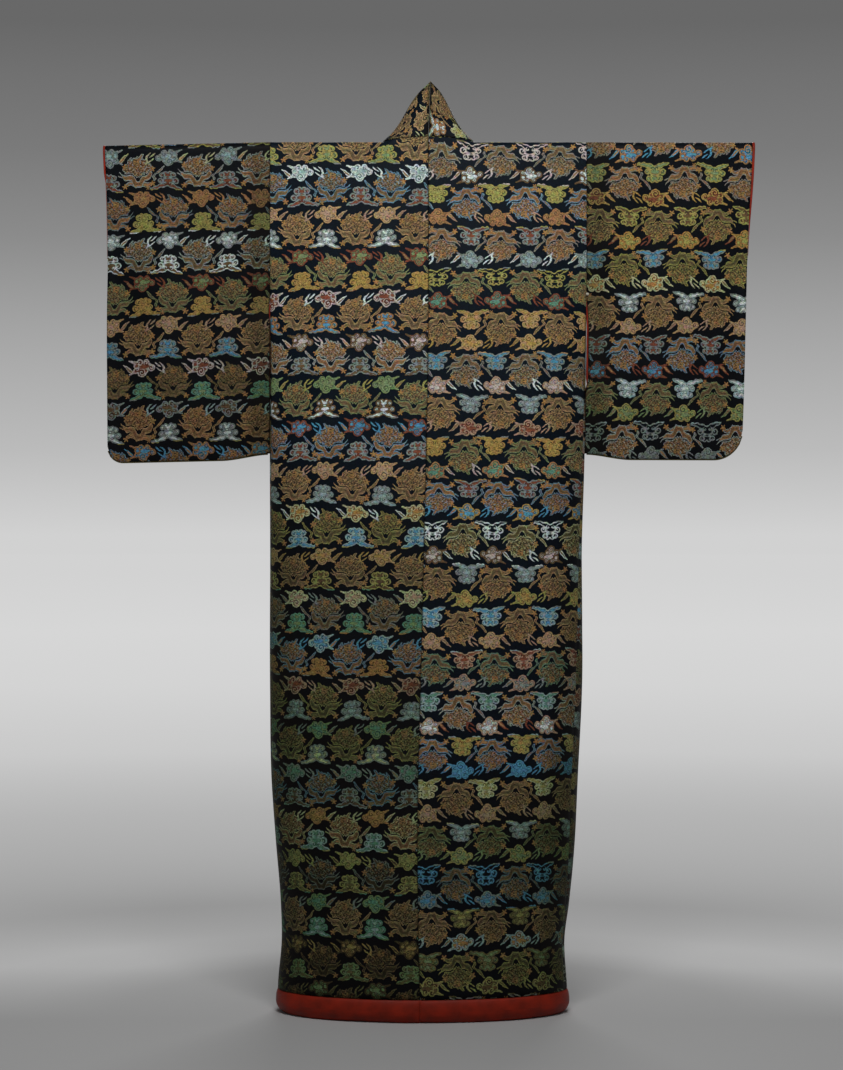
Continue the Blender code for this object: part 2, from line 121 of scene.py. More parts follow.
# The collar's free edge at the neck: length along its seam, place, and how far it leans to one side
NECK_EDGE = MM * np.array([
    (0, 0.2, -20.5, 113.5, 0), (10, 6, -20.2, 107, 0), (30, 16.5, -15, 96, 0), (50, 26.2, -3, 84.5, 0),
    (70, 36, 14, 71, 1), (88, 42, 30, 60, 3), (135, 6, 43, 20, 7),
])

# Rows and columns of the finer grids
FOLD_DROPS = SHOULDER_FOLD * (1 - np.cos(np.radians(np.linspace(0, 90, 7))))
UPPER_DROPS = np.r_[FOLD_DROPS, 0.022, 0.032, 0.042, 0.051, np.arange(0.060, ARMHOLE_DEPTH + MM, 0.010)]
LOWER_DROPS = np.r_[np.linspace(ARMHOLE_DEPTH, COLLAR_END, 41), np.linspace(COLLAR_END, HEM_DROP, 71)[1:]]
COLLAR_DROPS = np.array([0, 0.014, 0.032, 0.06, 0.1, 0.15, 0.21, 0.26, 0.3, 0.38, 0.47, 0.57, 0.675, 0.78])
QUARTER = np.linspace(0, math.pi / 2, 121)
SIDE_SLIP = 0.0000001
SAME_POINT = 0.00002

# Creases, placed one by one

# Each is a soft line over the cloth, in mm: from (across, drop) to (across, drop), half width, and how far it
# stands out. Across is measured from the middle of the back or front, positive towards the wearer's right.
BACK_CREASES = MM * np.array([
    (-205, 300, -165, 1120, 34, 2.6), (-120, 520, -135, 1500, 30, -2.8), (-62, 140, -78, 920, 28, 1.8),
    (70, 220, 60, 1200, 30, 2), (128, 400, 142, 1560, 32, -3), (200, 340, 182, 1300, 36, 2.8),
    (-225, 270, -130, 430, 20, -2), (228, 260, 120, 460, 22, -2.2), (-205, 1180, -190, 1620, 26, 2.8),
    (212, 1220, 196, 1620, 24, 2.6), (-60, 1240, -52, 1630, 28, 2.2), (58, 1300, 70, 1640, 26, -2),
    (-110, 20, -225, 105, 22, -1.2), (115, 18, 230, 110, 22, -1.2),
])
FRONT_CREASES = MM * np.array([
    (-190, 280, -160, 1050, 34, 2.6), (-100, 600, -120, 1520, 32, -3), (15, 850, -20, 1620, 36, 3),
    (100, 740, 112, 1550, 30, -2.6), (196, 320, 175, 1260, 34, 3), (-226, 270, -110, 500, 22, -2.2),
    (224, 260, 118, 440, 20, -2), (-200, 1150, -185, 1620, 26, 2.6), (205, 1280, 200, 1630, 24, 2.4),
])
# On a sleeve across is measured from the armhole seam, and both layers swing together.
SLEEVE_CREASES = {
    "left": MM * np.array([
        (60, 50, 45, 580, 20, 3.4), (125, 100, 120, 600, 24, -3.6), (195, 40, 205, 570, 22, 3),
        (262, 220, 258, 600, 20, -2.6), (20, 30, 110, 300, 16, -1.4),
    ]),
    "right": MM * np.array([
        (52, 60, 66, 590, 20, 3.2), (118, 30, 112, 520, 22, -3.2), (180, 120, 172, 600, 24, 3.4),
        (245, 50, 238, 580, 22, -2.8), (24, 30, 96, 260, 16, -1.4),
    ]),
}
# Below these drops a sleeve's loose inner edge lies close to the body and hides its red lining
SLIT_CLOSES = {"left": 0.322, "right": 0.450}
SLIT_STARTS = {"left": 0.306, "right": 0.299}
SLEEVE_TUCK = 0.0038
SEAM_ROLL_DROP = 0.0012
SEAM_ROLL_RADIUS = 0.0013
KNOT_DROP = 0.2875
KNOT_THREAD_RADIUS = 0.0009
# From the seam to the knot, then how far each ring of the knot is lifted off the cloth, and its radius
KNOT_SEAT = (0.0024, -0.0026, 0)
KNOT_RINGS = ((0, 0.0024), (0.0010, 0.0020), (0.0018, 0.0013))
# By side: painted shade from the waist down, then the drop of the next step, at the panel's lower join, and
# how much it adds there, darker cloth and painted shade together
BODY_SHADE_AND_TONE = {-1: (0.48, 1.05, 0.30), 1: (0.14, 1.22, 0.50)}
SEAM_DIP = 0.0009
SEAM_DIP_WIDTH = 0.0035


def places_at(*parts):
    """Places from arrays of their coordinates."""
    return np.stack(np.broadcast_arrays(*parts), axis=-1)


def smooth(start, end, value):
    """A soft step from 0 at start to 1 at end."""
    share = np.clip((value - start) / (end - start), 0, 1)
    return share * share * (3 - 2 * share)


def bell(distance, width):
    """1 at no distance, falling on both sides, to 1 / e at the width."""
    return np.exp(-((distance / width) ** 2))


def along(table, column, at):
    """A column's value on a smooth curve through the table's rows, whose first column is the place."""
    knots = table[:, 0]
    values = table[:, column]
    slopes = np.gradient(values, knots)
    row = np.clip(np.searchsorted(knots, at, side="right") - 1, 0, len(knots) - 2)
    span = knots[row + 1] - knots[row]
    share = np.clip((at - knots[row]) / span, 0, 1)
    start = values[row] * (1 + 2 * share) + slopes[row] * span * share
    end = values[row + 1] * (3 - 2 * share) - slopes[row + 1] * span * (1 - share)
    return start * (1 - share) ** 2 + end * share ** 2


def section(column, drop):
    """A named measure of the body's section at a drop."""
    return along(SECTIONS, SECTION_COLUMNS.index(column), drop)


def fold(drop):
    """The share of its full depth that a folded edge has reached, round at the top."""
    return np.sqrt(1 - (1 - np.clip(drop / SHOULDER_FOLD, 0, 1)) ** 2)


def roundness(drop):
    """0 where the section is a slot, 1 where it is an oval."""
    return smooth(SLOT_ENDS, OVAL_STARTS, drop)


def slot_gap(drop):
    """Half the gap at the end of the slot section."""
    return ARMHOLE_HALF_GAP * fold(drop) * np.sqrt(np.clip(1 - (drop / ARMHOLE_DEPTH) ** 3, 0, 1))


def quarter(drop, unfolded):
    """A quarter of the section at each drop: distance across, depth, and length along it.

    Depth falls from the half depth to the slot's gap by 1 - sin^SLOT_POWER above the armhole's foot, and as a
    cosine, a quarter oval, below. unfolded is 1 where the cloth stands up and doesn't fold over the shoulder.
    """
    drop = drop[..., None]
    unfolded = unfolded[..., None]
    turn = fold(drop)
    half_depth = section("half_depth", drop) * (turn + (1 - turn) * unfolded)
    gap = np.minimum(slot_gap(drop), half_depth)
    across = section("half_width", drop) * np.sin(QUARTER)
    slot = gap + (half_depth - gap) * (1 - np.sin(QUARTER) ** SLOT_POWER)
    depth = slot + (half_depth * np.cos(QUARTER) - slot) * roundness(drop)
    steps = np.hypot(np.diff(across, axis=-1), np.diff(depth, axis=-1))
    length = np.concatenate([np.zeros(steps.shape[:-1] + (1,)), np.cumsum(steps, axis=-1)], axis=-1)
    return across, depth, length


def quarter_length(drop):
    """Length of a quarter of the section."""
    return quarter(np.asarray(drop, float), np.zeros_like(drop, float))[2][..., -1]


def wrap(drop, arc, layer=0.0, unfolded=0.0):
    """Points on the body's oval at a drop and an arc from the back seam, moved out square to it by layer."""
    drop, arc, layer, unfolded = [np.array(item, float)
                                  for item in np.broadcast_arrays(drop, arc, layer, unfolded)]
    across, depth, length = quarter(drop, unfolded)
    total = length[..., -1]
    shift = section("seam_x", drop) - section("centre_x", drop)
    reach = arc + shift * smooth(ARMHOLE_DEPTH, SEAM_STRAYS_FROM, drop)
    side = np.where(reach < 0, -1.0, 1.0)
    reach = np.abs(reach)
    facing = np.where(reach > total, 1.0, -1.0)
    place = np.where(reach > total, 2 * total - reach, reach)
    side = side * np.where(place < 0, -1.0, 1.0)
    place = np.abs(place)[..., None]
    low = np.clip((length <= place).sum(axis=-1, keepdims=True) - 1, 0, length.shape[-1] - 2)

    def ends(values):
        return np.take_along_axis(values, low, -1)[..., 0], np.take_along_axis(values, low + 1, -1)[..., 0]

    length_low, length_high = ends(length)
    across_low, across_high = ends(across)
    depth_low, depth_high = ends(depth)
    step = length_high - length_low
    share = np.clip((place[..., 0] - length_low) / step, 0, 1)
    x = side * (across_low + (across_high - across_low) * share - layer * (depth_high - depth_low) / step)
    y = facing * (depth_low + (depth_high - depth_low) * share + layer * (across_high - across_low) / step)
    return places_at(section("centre_x", drop) + x, y, -drop)


def cloth_width(drop):
    """Width of one body length at a drop: the whole loom width, eased in above the armhole's foot."""
    return np.minimum(quarter_length(drop), LOOM_WIDTH)


def front_edge(drop):
    """Arc of the front panel's free edge: the neckline at the top, straight below it."""
    return 2 * cloth_width(drop) - NECK_HALF_WIDTH * np.clip(1 - drop / NECKLINE_DEPTH, 0, 1) ** 1.1


def overlap_edge(drop):
    """Arc of the overlap's free edge, slanting out to the collar's end and then almost straight."""
    slant = OVERLAP_AT_COLLAR_END * np.clip((drop - NECKLINE_DEPTH) / (COLLAR_END - NECKLINE_DEPTH), 0, 1)
    below = np.clip((drop - COLLAR_END) / (HEM_DROP - COLLAR_END), 0, 1)
    return front_edge(drop) + slant + (OVERLAP_AT_HEM - OVERLAP_AT_COLLAR_END) * below


def creased(table, across, drop):
    """Height of all creases at each place: a bell across each line, times a soft start and end along it."""
    line = table.reshape(table.shape + (1,) * np.ndim(across))
    run_across = line[:, 2] - line[:, 0]
    run_down = line[:, 3] - line[:, 1]
    length = np.hypot(run_across, run_down)
    from_start = ((across - line[:, 0]) * run_across + (drop - line[:, 1]) * run_down) / length
    beside = ((across - line[:, 0]) * run_down - (drop - line[:, 1]) * run_across) / length
    # Each line sways a little to both sides
    beside = beside + 0.16 * line[:, 4] * np.sin(7.3 * from_start / length + 90 * line[:, 0])
    ends = smooth(-0.05, 0.30, from_start / length) * smooth(1.05, 0.66, from_start / length)
    return (line[:, 5] * ends * bell(beside, line[:, 4])).sum(axis=0)


def body_crease(drop, arc, side):
    """Creases of the back or front, which die out before the side seam, so that its edges stay together."""
    width = cloth_width(drop)
    over = 2 * width - arc
    on_back, on_front = [creased(table, side * at, drop) * smooth(width - 0.02, width - 0.07, at)
                         for table, at in ((BACK_CREASES, arc), (FRONT_CREASES, over))]
    return np.where(arc <= width, on_back, on_front * smooth(0.03, 0.12, drop))


def dip(distance):
    """A seam pulls the cloth in: a narrow bell along it."""
    return -SEAM_DIP * bell(distance, SEAM_DIP_WIDTH)


def lap(drop, arc, side):
    """Distance that a front lies outside the section, or inside it on the wearer's right."""
    amount = LAP * smooth(*LAP_DROPS, drop) + (LAP_AT_HEM - LAP) * smooth(*LAP_WIDENS, drop)
    return -side * amount * smooth(*LAP_ARCS, np.abs(arc))


def on_body(drop, arc, side, layer=0.0):
    """Points of a front or back piece on one side, at unsigned arcs."""
    return wrap(drop, side * arc, lap(drop, arc, side) + body_crease(drop, arc, side) + layer)


# Meshes

def joined(mesh):
    """Join points that lie on each other, and turn all faces the same way, outwards on a closed shape."""
    shape = bmesh.new()
    shape.from_mesh(mesh)
    bmesh.ops.remove_doubles(shape, verts=shape.verts, dist=SAME_POINT)
    bmesh.ops.recalc_face_normals(shape, faces=shape.faces)
    shape.to_mesh(mesh)
    shape.free()
    return mesh


def weld(mesh, outwards):
    """Join a sheet's points, and turn all its faces towards outwards, a function of places."""
    joined(mesh)
    count = len(mesh.polygons)
    normals = np.empty(count * 3)
    centres = np.empty(count * 3)
    mesh.polygons.foreach_get("normal", normals)
    mesh.polygons.foreach_get("center", centres)
    if (normals.reshape(-1, 3) * outwards(centres.reshape(-1, 3))).sum() < 0:
        mesh.flip_normals()


def away_from_middle(places):
    """Outwards for a piece round the body: -Y on the back, +Y on the front."""
    return np.sign(places[:, 1:2]) * np.array([0.0, 1.0, 0.0])


def grid_mesh(name, patches):
    """A mesh from patches of points with cloth places and shades, each a rows by columns grid."""
    points, corners, first = [], [], 0
    for place, cloth, shade in patches:
        rows, columns = place.shape[:2]
        corner = (np.arange(rows - 1)[:, None] * columns + np.arange(columns - 1)[None, :]).ravel() + first
        corners.append(np.stack([corner, corner + 1, corner + columns + 1, corner + columns], axis=1))
        points.append(place.reshape(-1, 3))
        first += rows * columns
    faces = np.concatenate(corners)
    mesh = bpy.data.meshes.new(name)
    mesh.from_pydata(np.concatenate(points).tolist(), [], faces.tolist())
    cloth = np.concatenate([item[1].reshape(-1, 2) for item in patches])
    shade = np.concatenate([item[2].ravel() for item in patches])
    mesh.uv_layers.new(name="cloth").data.foreach_set("uv", cloth[faces].ravel())
    mesh.attributes.new("painted_shade_and_tone", "FLOAT", "CORNER").data.foreach_set("value", shade[faces].ravel())
    return mesh


def put(name, data):
    """A new object for a mesh, lamp or camera, in the scene."""
    made = bpy.data.objects.new(name, data)
    bpy.context.scene.collection.objects.link(made)
    return made


def piece(name, mesh, finishes, replaced):
    """Put a mesh in the scene for good: its materials, body and the solids that it stands for."""
    made = put(name, mesh)
    for finish in finishes:
        mesh.materials.append(finish)
    mesh.polygons.foreach_set("use_smooth", np.ones(len(mesh.polygons), bool))
    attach(made, "root")
    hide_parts(*replaced)
    return made


def cloth_piece(name, patches, finishes, wall=WALL):
    """A lined cloth piece: brocade outside, red silk inside, its wall half to each side of the grid."""
    mesh = grid_mesh(name + "_cloth", patches)
    weld(mesh, away_from_middle)
    made = piece(name + "_cloth", mesh, finishes, [name])
    thicken = made.modifiers.new("wall", "SOLIDIFY")
    thicken.thickness = wall
    thicken.offset = 0
    thicken.material_offset = 1
    thicken.material_offset_rim = 0
    return made


def lengths(path):
    """Length along a path from its start to each of its points."""
    return np.r_[0, np.cumsum(np.linalg.norm(np.diff(path, axis=0), axis=1))]


def roll_mesh(name, rings):
    """A closed roll through rings of points, rows by columns, each end closed by a point at its middle."""
    ends = [ring.mean(axis=1, keepdims=True).repeat(rings.shape[1], axis=1)
            for ring in (rings[:1], rings[-1:])]
    grid = np.concatenate([ends[0], rings, ends[1]])
    grid = np.concatenate([grid, grid[:, :1]], axis=1)
    run = lengths(grid[:, 0])[:, None] + 0 * grid[..., 0]
    round_it = lengths(grid[len(grid) // 2])
    return joined(grid_mesh(name, [(grid, places_at(run, round_it), 0 * run)]))


def tube_rings(path, radii, reference, sides=10):
    """Circles square to a path: point + radius x (cosine of one side + sine of the other)."""
    run = np.gradient(path, axis=0)
    run /= np.linalg.norm(run, axis=1, keepdims=True)
    side = np.cross(run, reference)
    side /= np.linalg.norm(side, axis=1, keepdims=True)
    other = np.cross(side, run)
    angle = np.linspace(0, 2 * math.pi, sides, endpoint=False)[None, :, None]
    radii = np.broadcast_to(radii, len(path))[:, None, None]
    return path[:, None] + radii * (side[:, None] * np.cos(angle) + other[:, None] * np.sin(angle))


# Pieces

def grid(drops, shares):
    """Drops down the rows and shares along the columns, as two full arrays."""
    return drops[:, None] + 0 * shares[None, :], 0 * drops[:, None] + shares[None, :]


def body_shade_and_tone(drop, arc, side):
    """Painted shade with some darker cloth: darker towards the outer column of each panel, where the oval
    turns from the light, and down its lower half, where less light falls, sooner on the left, with a step
    below each panel's lower join, where the cloth is darker.
    """
    waist, step_drop, step = BODY_SHADE_AND_TONE[side]
    outer = smooth(0.225, 0.285, arc) * (0.30 * smooth(0.30, 0.75, drop) + 0.20 * smooth(0.75, 1.1, drop))
    upper = waist * smooth(0.55, 0.86, drop)
    lower = step * smooth(step_drop - 0.10, step_drop + 0.05, drop)
    return np.clip(outer + upper + lower * (0.7 + 0.4 * smooth(0.05, 0.24, arc)), 0, 1)


def neck_share():
    """The share of a panel's width that the neck takes up at the top."""
    return NECK_HALF_WIDTH / float(quarter_length(0.0))


def back_places(side, drop, share):
    """Places of a back panel, and its arcs. Its top edge rises a little between the shoulders."""
    neck = neck_share()
    upright = smooth(neck, neck * 0.8, share)
    width = cloth_width(drop)
    arc = np.maximum(width * share - SIDE_SLIP, SEAM_GAP / 2)
    seams = dip(arc) * smooth(0.0, 0.03, drop) + dip(width - arc) * smooth(ARMHOLE_DEPTH, 0.34, drop)
    crease = body_crease(drop, np.minimum(arc, width), side) * smooth(0.0, 0.03, drop)
    places = wrap(drop, side * arc, crease + seams, upright)
    arch = np.clip(1 - (share / neck) ** 2, 0, 1)
    places[..., 2] += NECK_RISE * arch * (1 - smooth(0.0, 0.035, drop))
    return places, arc


def make_body(hand, side, finishes):
    """One length of cloth: back, shoulder and front in one, its side seam closed below the armhole."""
    neck = neck_share()
    shoulder = np.r_[1, 0.992, 0.984, 0.97, np.linspace(0.95, neck, 28)]
    seat = np.r_[np.linspace(neck, 0.03, 11)[1:], 0.021, 0.013, 0.006, 0]
    drops = np.r_[UPPER_DROPS[:-1], LOWER_DROPS]
    drop, share = grid(drops, np.r_[shoulder, seat])
    back, arc = back_places(side, drop, share)
    patches = [(back, places_at(-arc, side * drop), body_shade_and_tone(drop, arc, side))]
    drop, share = grid(drops, (1 - shoulder) / (1 - neck))
    width = cloth_width(drop)
    edge = front_edge(drop)
    arc = width + SIDE_SLIP + (edge - width) * share
    seams = dip(edge - arc) * smooth(0.20, 0.26, drop) + dip(arc - width) * smooth(ARMHOLE_DEPTH, 0.34, drop)
    over = 2 * width - arc
    front = on_body(drop, arc, side, seams)
    patches.append((front, places_at(-over, -side * drop), body_shade_and_tone(drop, over, side)))
    made = cloth_piece("body_" + hand, patches, finishes)


def make_overlap(hand, side, finishes):
    """The narrow length on the front edge, from a point under the collar down to the hem."""
    drops = np.r_[OVERLAP_TOP, UPPER_DROPS[UPPER_DROPS > OVERLAP_TOP][:-1], LOWER_DROPS]
    drop, share = grid(drops, np.r_[0, 0.02, 0.05, 0.1, np.linspace(0.16, 1, 16)])
    start = front_edge(drop) + SEAM_GAP
    end = overlap_edge(drop) - np.where(drop < COLLAR_END - 0.001, SEAM_GAP / 2, 0)
    arc = start + (end - start) * share
    cloth = places_at(arc - start, OVERLAP_PATTERN_SHIFT - side * drop)
    patches = [(on_body(drop, arc, side, dip(arc - start)), cloth, body_shade_and_tone(drop, arc - start, side))]
    made = cloth_piece("overlap_" + hand, patches, finishes)


def make_collar(hand, side, finishes):
    """Half of the collar band: rows run across it from its seam, straight up to the free edge's own curve at
    the neck, and square to the slanting seam on the body's oval lower down.
    """
    nape = back_places(side, *grid(np.array([0.0]), np.linspace(0, neck_share(), 25)[:-1]))[0][0]
    drops = np.r_[UPPER_DROPS[:-1], LOWER_DROPS[LOWER_DROPS <= COLLAR_END + MM / 10]]
    arcs = np.where(drops <= NECKLINE_DEPTH, front_edge(drops), overlap_edge(drops))
    base = np.concatenate([nape, on_body(drops, arcs, side)])
    run = lengths(base)
    across = np.r_[0, 0.02, 0.05, np.linspace(0.10, 0.94, 12), 0.97, 1][None, :]

    on_panel = COLLAR_DROPS <= NECKLINE_DEPTH
    coarse_arcs = np.where(on_panel, front_edge(COLLAR_DROPS), overlap_edge(COLLAR_DROPS))
    slope = np.interp(drops, COLLAR_DROPS, np.gradient(coarse_arcs, COLLAR_DROPS))
    scale = np.hypot(slope, 1)
    reach = SEAM_GAP + (COLLAR_WIDTH - SEAM_GAP) * across
    flat_drop = drops[:, None] - (slope / scale)[:, None] * reach
    flat_arc = arcs[:, None] + (1 / scale)[:, None] * reach
    puff = COLLAR_PUFF * np.sin(math.pi * across) ** 0.7
    flat = on_body(np.maximum(flat_drop, 0.012), flat_arc, side, puff + 0 * flat_arc)

    neck_edge = NECK_EDGE[:, :4] * np.array([1, side, 1, 1])
    neck_edge[:, 2] -= side * NECK_EDGE[:, 4]
    rows = np.searchsorted(drops, np.array(COLLAR_KNOT_DROPS) - 0.0001)
    lower = np.column_stack([run[len(nape) + rows], flat[rows, -1]])
    knots = np.concatenate([neck_edge, lower])
    free = places_at(*[along(knots, axis, run) for axis in (1, 2, 3)])
    free[:, 0] += COLLAR_TILT * bell(run, COLLAR_TILT_LENGTH)
    seat = base + 0
    seat[0, 0] = side * SEAM_GAP / 2
    ruling = free - seat
    ruling /= np.linalg.norm(ruling, axis=1, keepdims=True)
    lean = bell(run - run[len(nape)], COLLAR_TURN)[:, None]
    seat += ruling * (SEAM_GAP + COLLAR_LEAN * lean)
    standing = seat[:, None] + (free - seat)[:, None] * across[..., None]
    sag = 4 * across[..., None] * (1 - across[..., None]) * lean[:, None]
    standing -= sag * np.array([side * COLLAR_SAG[0], 0.0, COLLAR_SAG[1]])
    flatness = smooth(*COLLAR_LIES_FLAT, np.r_[np.zeros(len(nape)), drops])[:, None, None]
    on_front = np.concatenate([np.zeros((len(nape),) + flat.shape[1:]), flat])
    band = standing * (1 - flatness) + on_front * flatness
    run = run[:, None]
    cloth = places_at(COLLAR_PATTERN_SHIFT[hand] - side * COLLAR_WIDTH * across, run)
    # Painted shade: darker at the collar's free edge and along its seam, where shade falls, and at the centre
    # crease of the nape
    shaded_edges = 0.8 * smooth(0.86, 1.0, across) + 0.7 * smooth(0.08, 0.0, across)
    painted_shade_and_tone = np.clip(0.10 + shaded_edges + 0.9 * smooth(0.012, 0.0, run), 0, 1)
    made = cloth_piece("collar_" + hand, [(band, cloth, painted_shade_and_tone)], finishes, COLLAR_WALL)


def sleeve_bottom(hand, share):
    """Drop of the sleeve's lower edge, with a rounded outer corner and a slight rise towards the body."""
    radius = SLEEVE_CORNER[hand]
    into = np.clip(1 - (1 - share) * SLEEVE_LENGTH / radius, 0, 1)
    rise = SLEEVE_RISE * (1 - smooth(0.0, 0.30, share))
    return SLEEVE_DEPTH - rise - radius * (1 - np.sqrt(1 - into ** 2))


def sleeve_half_gap(share, drop, bottom):
    """Half the space between the layers: the armhole's gap at the seam, a soft bag, and a flatter wrist."""
    below = np.clip((drop - ARMHOLE_DEPTH) / (bottom - ARMHOLE_DEPTH), 0, 1)
    sewn = slot_gap(drop) * (1 - roundness(drop)) + LAYER_HALF_GAP * smooth(0.20, 0.29, drop)
    inner = sewn + SLIT_HALF_GAP * np.sin(math.pi * below)
    bag = SLEEVE_SWELL * fold(drop) * np.sqrt(1 - np.clip(drop / bottom, 0, 1) ** 5)
    outer = WRIST_HALF_GAP * fold(drop) * np.sqrt(1 - np.clip(drop / WRIST_OPENING, 0, 1) ** 4)
    gap = inner + (bag - inner) * smooth(0.0, 0.35, share)
    gap = gap + (outer - gap) * smooth(0.70, 1.0, share)
    return np.maximum(gap, LAYER_HALF_GAP * fold(drop))


def sleeve_places(hand, side, shares, drops, facing):
    """Places and drops of one layer of a sleeve: the back one with facing -1, the front one with 1."""
    down, share = grid(drops, shares)
    bottom = sleeve_bottom(hand, share)
    stretch = (bottom - ARMHOLE_DEPTH) / (SLEEVE_DEPTH - ARMHOLE_DEPTH)
    drop = np.where(down <= ARMHOLE_DEPTH, down, ARMHOLE_DEPTH + (down - ARMHOLE_DEPTH) * stretch)
    closed = SLIT_CLOSES[hand]
    clear = np.interp(drop, CLEARANCES[:, 0], CLEARANCES[:, 1])
    clear = clear - SLEEVE_TUCK * smooth(closed, closed + 0.02, drop)
    inner = section("centre_x", drop) + side * (section("half_width", drop) + clear)
    outer = side * along(REACHES, REACH_COLUMNS.index(hand), drop)
    x = inner + (outer - inner) * share
    swing = creased(SLEEVE_CREASES[hand], share * SLEEVE_LENGTH, drop)
    calm = smooth(0.02, 0.12, share) * smooth(1.0, 0.86, share) * smooth(0.0, 0.04, drop)
    y = facing * sleeve_half_gap(share, drop, bottom) - swing * calm
    y = y + facing * dip(share * SLEEVE_LENGTH) * smooth(0.02, 0.05, drop) * smooth(0.28, 0.22, drop)
    return places_at(x, y, -drop - SLEEVE_DROOP[hand] * share), drop


def make_sleeve(hand, side, finishes):
    """A sleeve: one length folded along the top, both layers hanging to the sewn lower edge."""
    shares = np.r_[0, 0.006, 0.014, 0.03, 0.05, np.linspace(0.075, 0.93, 32), 0.95, 0.97, 0.985, 1]
    drops = np.r_[UPPER_DROPS, np.linspace(ARMHOLE_DEPTH, 0.585, 27)[1:], 0.592, 0.597, SLEEVE_DEPTH]
    patches = []
    for facing in (-1, 1):
        places, drop = sleeve_places(hand, side, shares, drops, facing)
        across = shares * SLEEVE_LENGTH
        # Painted shade: darker next to the armhole seam, where the sleeve lies in shade, and down its lower
        # part, where less light falls
        painted_shade_and_tone = 0.50 * smooth(0.052, 0.026, across) + 0.22 * smooth(0.15, 0.6, drop)
        patches.append((places, places_at(-across, -facing * side * drop), painted_shade_and_tone))
    made = cloth_piece("sleeve_" + hand, patches, finishes)
    seam = np.linspace(0.012, 0.997, 60)
    edge = np.stack([sleeve_places(hand, side, np.array([share]), np.array([SLEEVE_DEPTH]), 0)[0][0, 0]
                     for share in seam])
    edge[:, 2] -= SEAM_ROLL_DROP
    roll = roll_mesh("sleeve_seam_" + hand, tube_rings(edge, SEAM_ROLL_RADIUS, (0, 1, 0)))
    piece("sleeve_seam_" + hand, roll, [seam_silk], [])


def make_thread_knot():
    """The knot where the sewing of the right sleeve ends: three turns of white thread, each an oval ring."""
    turn = np.linspace(0, 2 * math.pi, 25)[:-1]
    seat = back_places(1, *grid(np.array([KNOT_DROP]), np.array([1.0])))[0][0, 0]
    rings = [seat + KNOT_SEAT + places_at(reach * np.cos(turn), -lift, 0.8 * reach * np.sin(turn))
             for lift, reach in KNOT_RINGS]
    roll = roll_mesh("thread_knot", tube_rings(np.concatenate(rings), KNOT_THREAD_RADIUS, (0, 1, 0), 8))
    piece("thread_knot", roll, [white_thread], [])


def make_hem_roll(hand, side, finish):
    """Half of the padded hem: an upright oval run round the body's oval, tucked in at the floor, a little
    uneven where the padding bunches, drawn in at its ends where it is sewn.
    """
    end = float(overlap_edge(np.array(HEM_DROP)))
    arcs = np.r_[SEAM_GAP / 2, 0.0012, 0.003, 0.007, 0.013, 0.02, np.linspace(0.03, end - 0.003, 110),
                 end - 0.001, end]
    angles = np.linspace(0, 2 * math.pi, 28, endpoint=False)
    middle = SHOULDER_HEIGHT - HEM_ROLL_HEIGHT / 2
    arc, angle = grid(arcs, angles)
    drawn = 1 - 0.22 * bell(arc, 0.006) - 0.12 * bell(end - arc, 0.004)
    bunched = 1 + 0.030 * np.sin(61 * arc + side) + 0.022 * np.sin(143 * arc + 2 * side) * np.sin(17 * arc)
    plump = np.abs(np.cos(angle)) ** 0.8 * np.sign(np.cos(angle))
    tuck = HEM_ROLL_TUCK * np.clip(-np.sin(angle), 0, 1) ** 2
    out = HEM_ROLL_THICKNESS / 2 * plump * drawn * bunched - HEM_ROLL_INSET - tuck
    crease = body_crease(HEM_DROP + 0 * arc, arc, side)
    places = wrap(middle, side * arc, lap(middle, arc, side) + crease + out)
    lift = 0.0006 * (1 + np.sin(29 * arc + 1.5 * side)) * np.clip(-np.sin(angle), 0, 1)
    places[..., 2] = -middle + HEM_ROLL_HEIGHT / 2 * np.sin(angle) + lift
    name = "hem_roll_" + hand
    made = piece(name + "_silk", roll_mesh(name, places), [finish], [name])


def make_edges(hand, side, finish):
    """The red lining's thin rolls: round the wrist opening, and round the sleeve's loose inner edge."""
    down = np.r_[UPPER_DROPS[UPPER_DROPS < 0.185], np.linspace(0.190, 0.214, 4)]
    edge = sleeve_places(hand, side, np.array([1.0]), down, 1)[0][:, 0]
    radius = WRIST_EDGE_RADIUS[hand] * (1 - 0.5 * down / WRIST_OPENING)
    radius = radius * (1 - 0.72 * smooth(*WRIST_EDGE_THINS[hand], down))
    edge[:, 0] += side * (radius + SEAM_GAP)
    path = np.concatenate([(edge * OTHER_LAYER)[:0:-1], edge])
    rings = tube_rings(path, np.r_[radius[:0:-1], radius], (1, 0, 0))
    name = "wrist_edge_" + hand
    piece(name + "_silk", roll_mesh(name, rings), [finish], [name])
    down = np.r_[np.linspace(SLIT_STARTS[hand], 0.58, 25), 0.590]
    radius = SLIT_EDGE_RADIUS * (0.55 + 0.45 * smooth(0.298, 0.318, down))
    edge = sleeve_places(hand, side, np.array([0.0]), down, 1)[0][:, 0]
    edge[:, 0] -= side * (radius + SEAM_GAP)
    edge[:, 1] = np.maximum(edge[:, 1], radius + SEAM_GAP)
    tucked = smooth(SLIT_CLOSES[hand], SLIT_CLOSES[hand] + 0.02, down)
    edge[:, 0] += side * SLIT_TUCK[0] * tucked
    edge[:, 1] -= np.minimum(SLIT_TUCK[1], 0.9 * edge[:, 1]) * tucked
    turn = edge[-1] * (1, 0, 1) - (0, 0, 0.003)
    path = np.concatenate([edge * OTHER_LAYER, [turn], edge[::-1]])
    rings = tube_rings(path, np.r_[radius, radius[-1], radius[::-1]], (1, 0, 0))
    name = "sleeve_slit_edge_" + hand
    piece(name + "_silk", roll_mesh(name, rings), [finish], [name])


# Materials

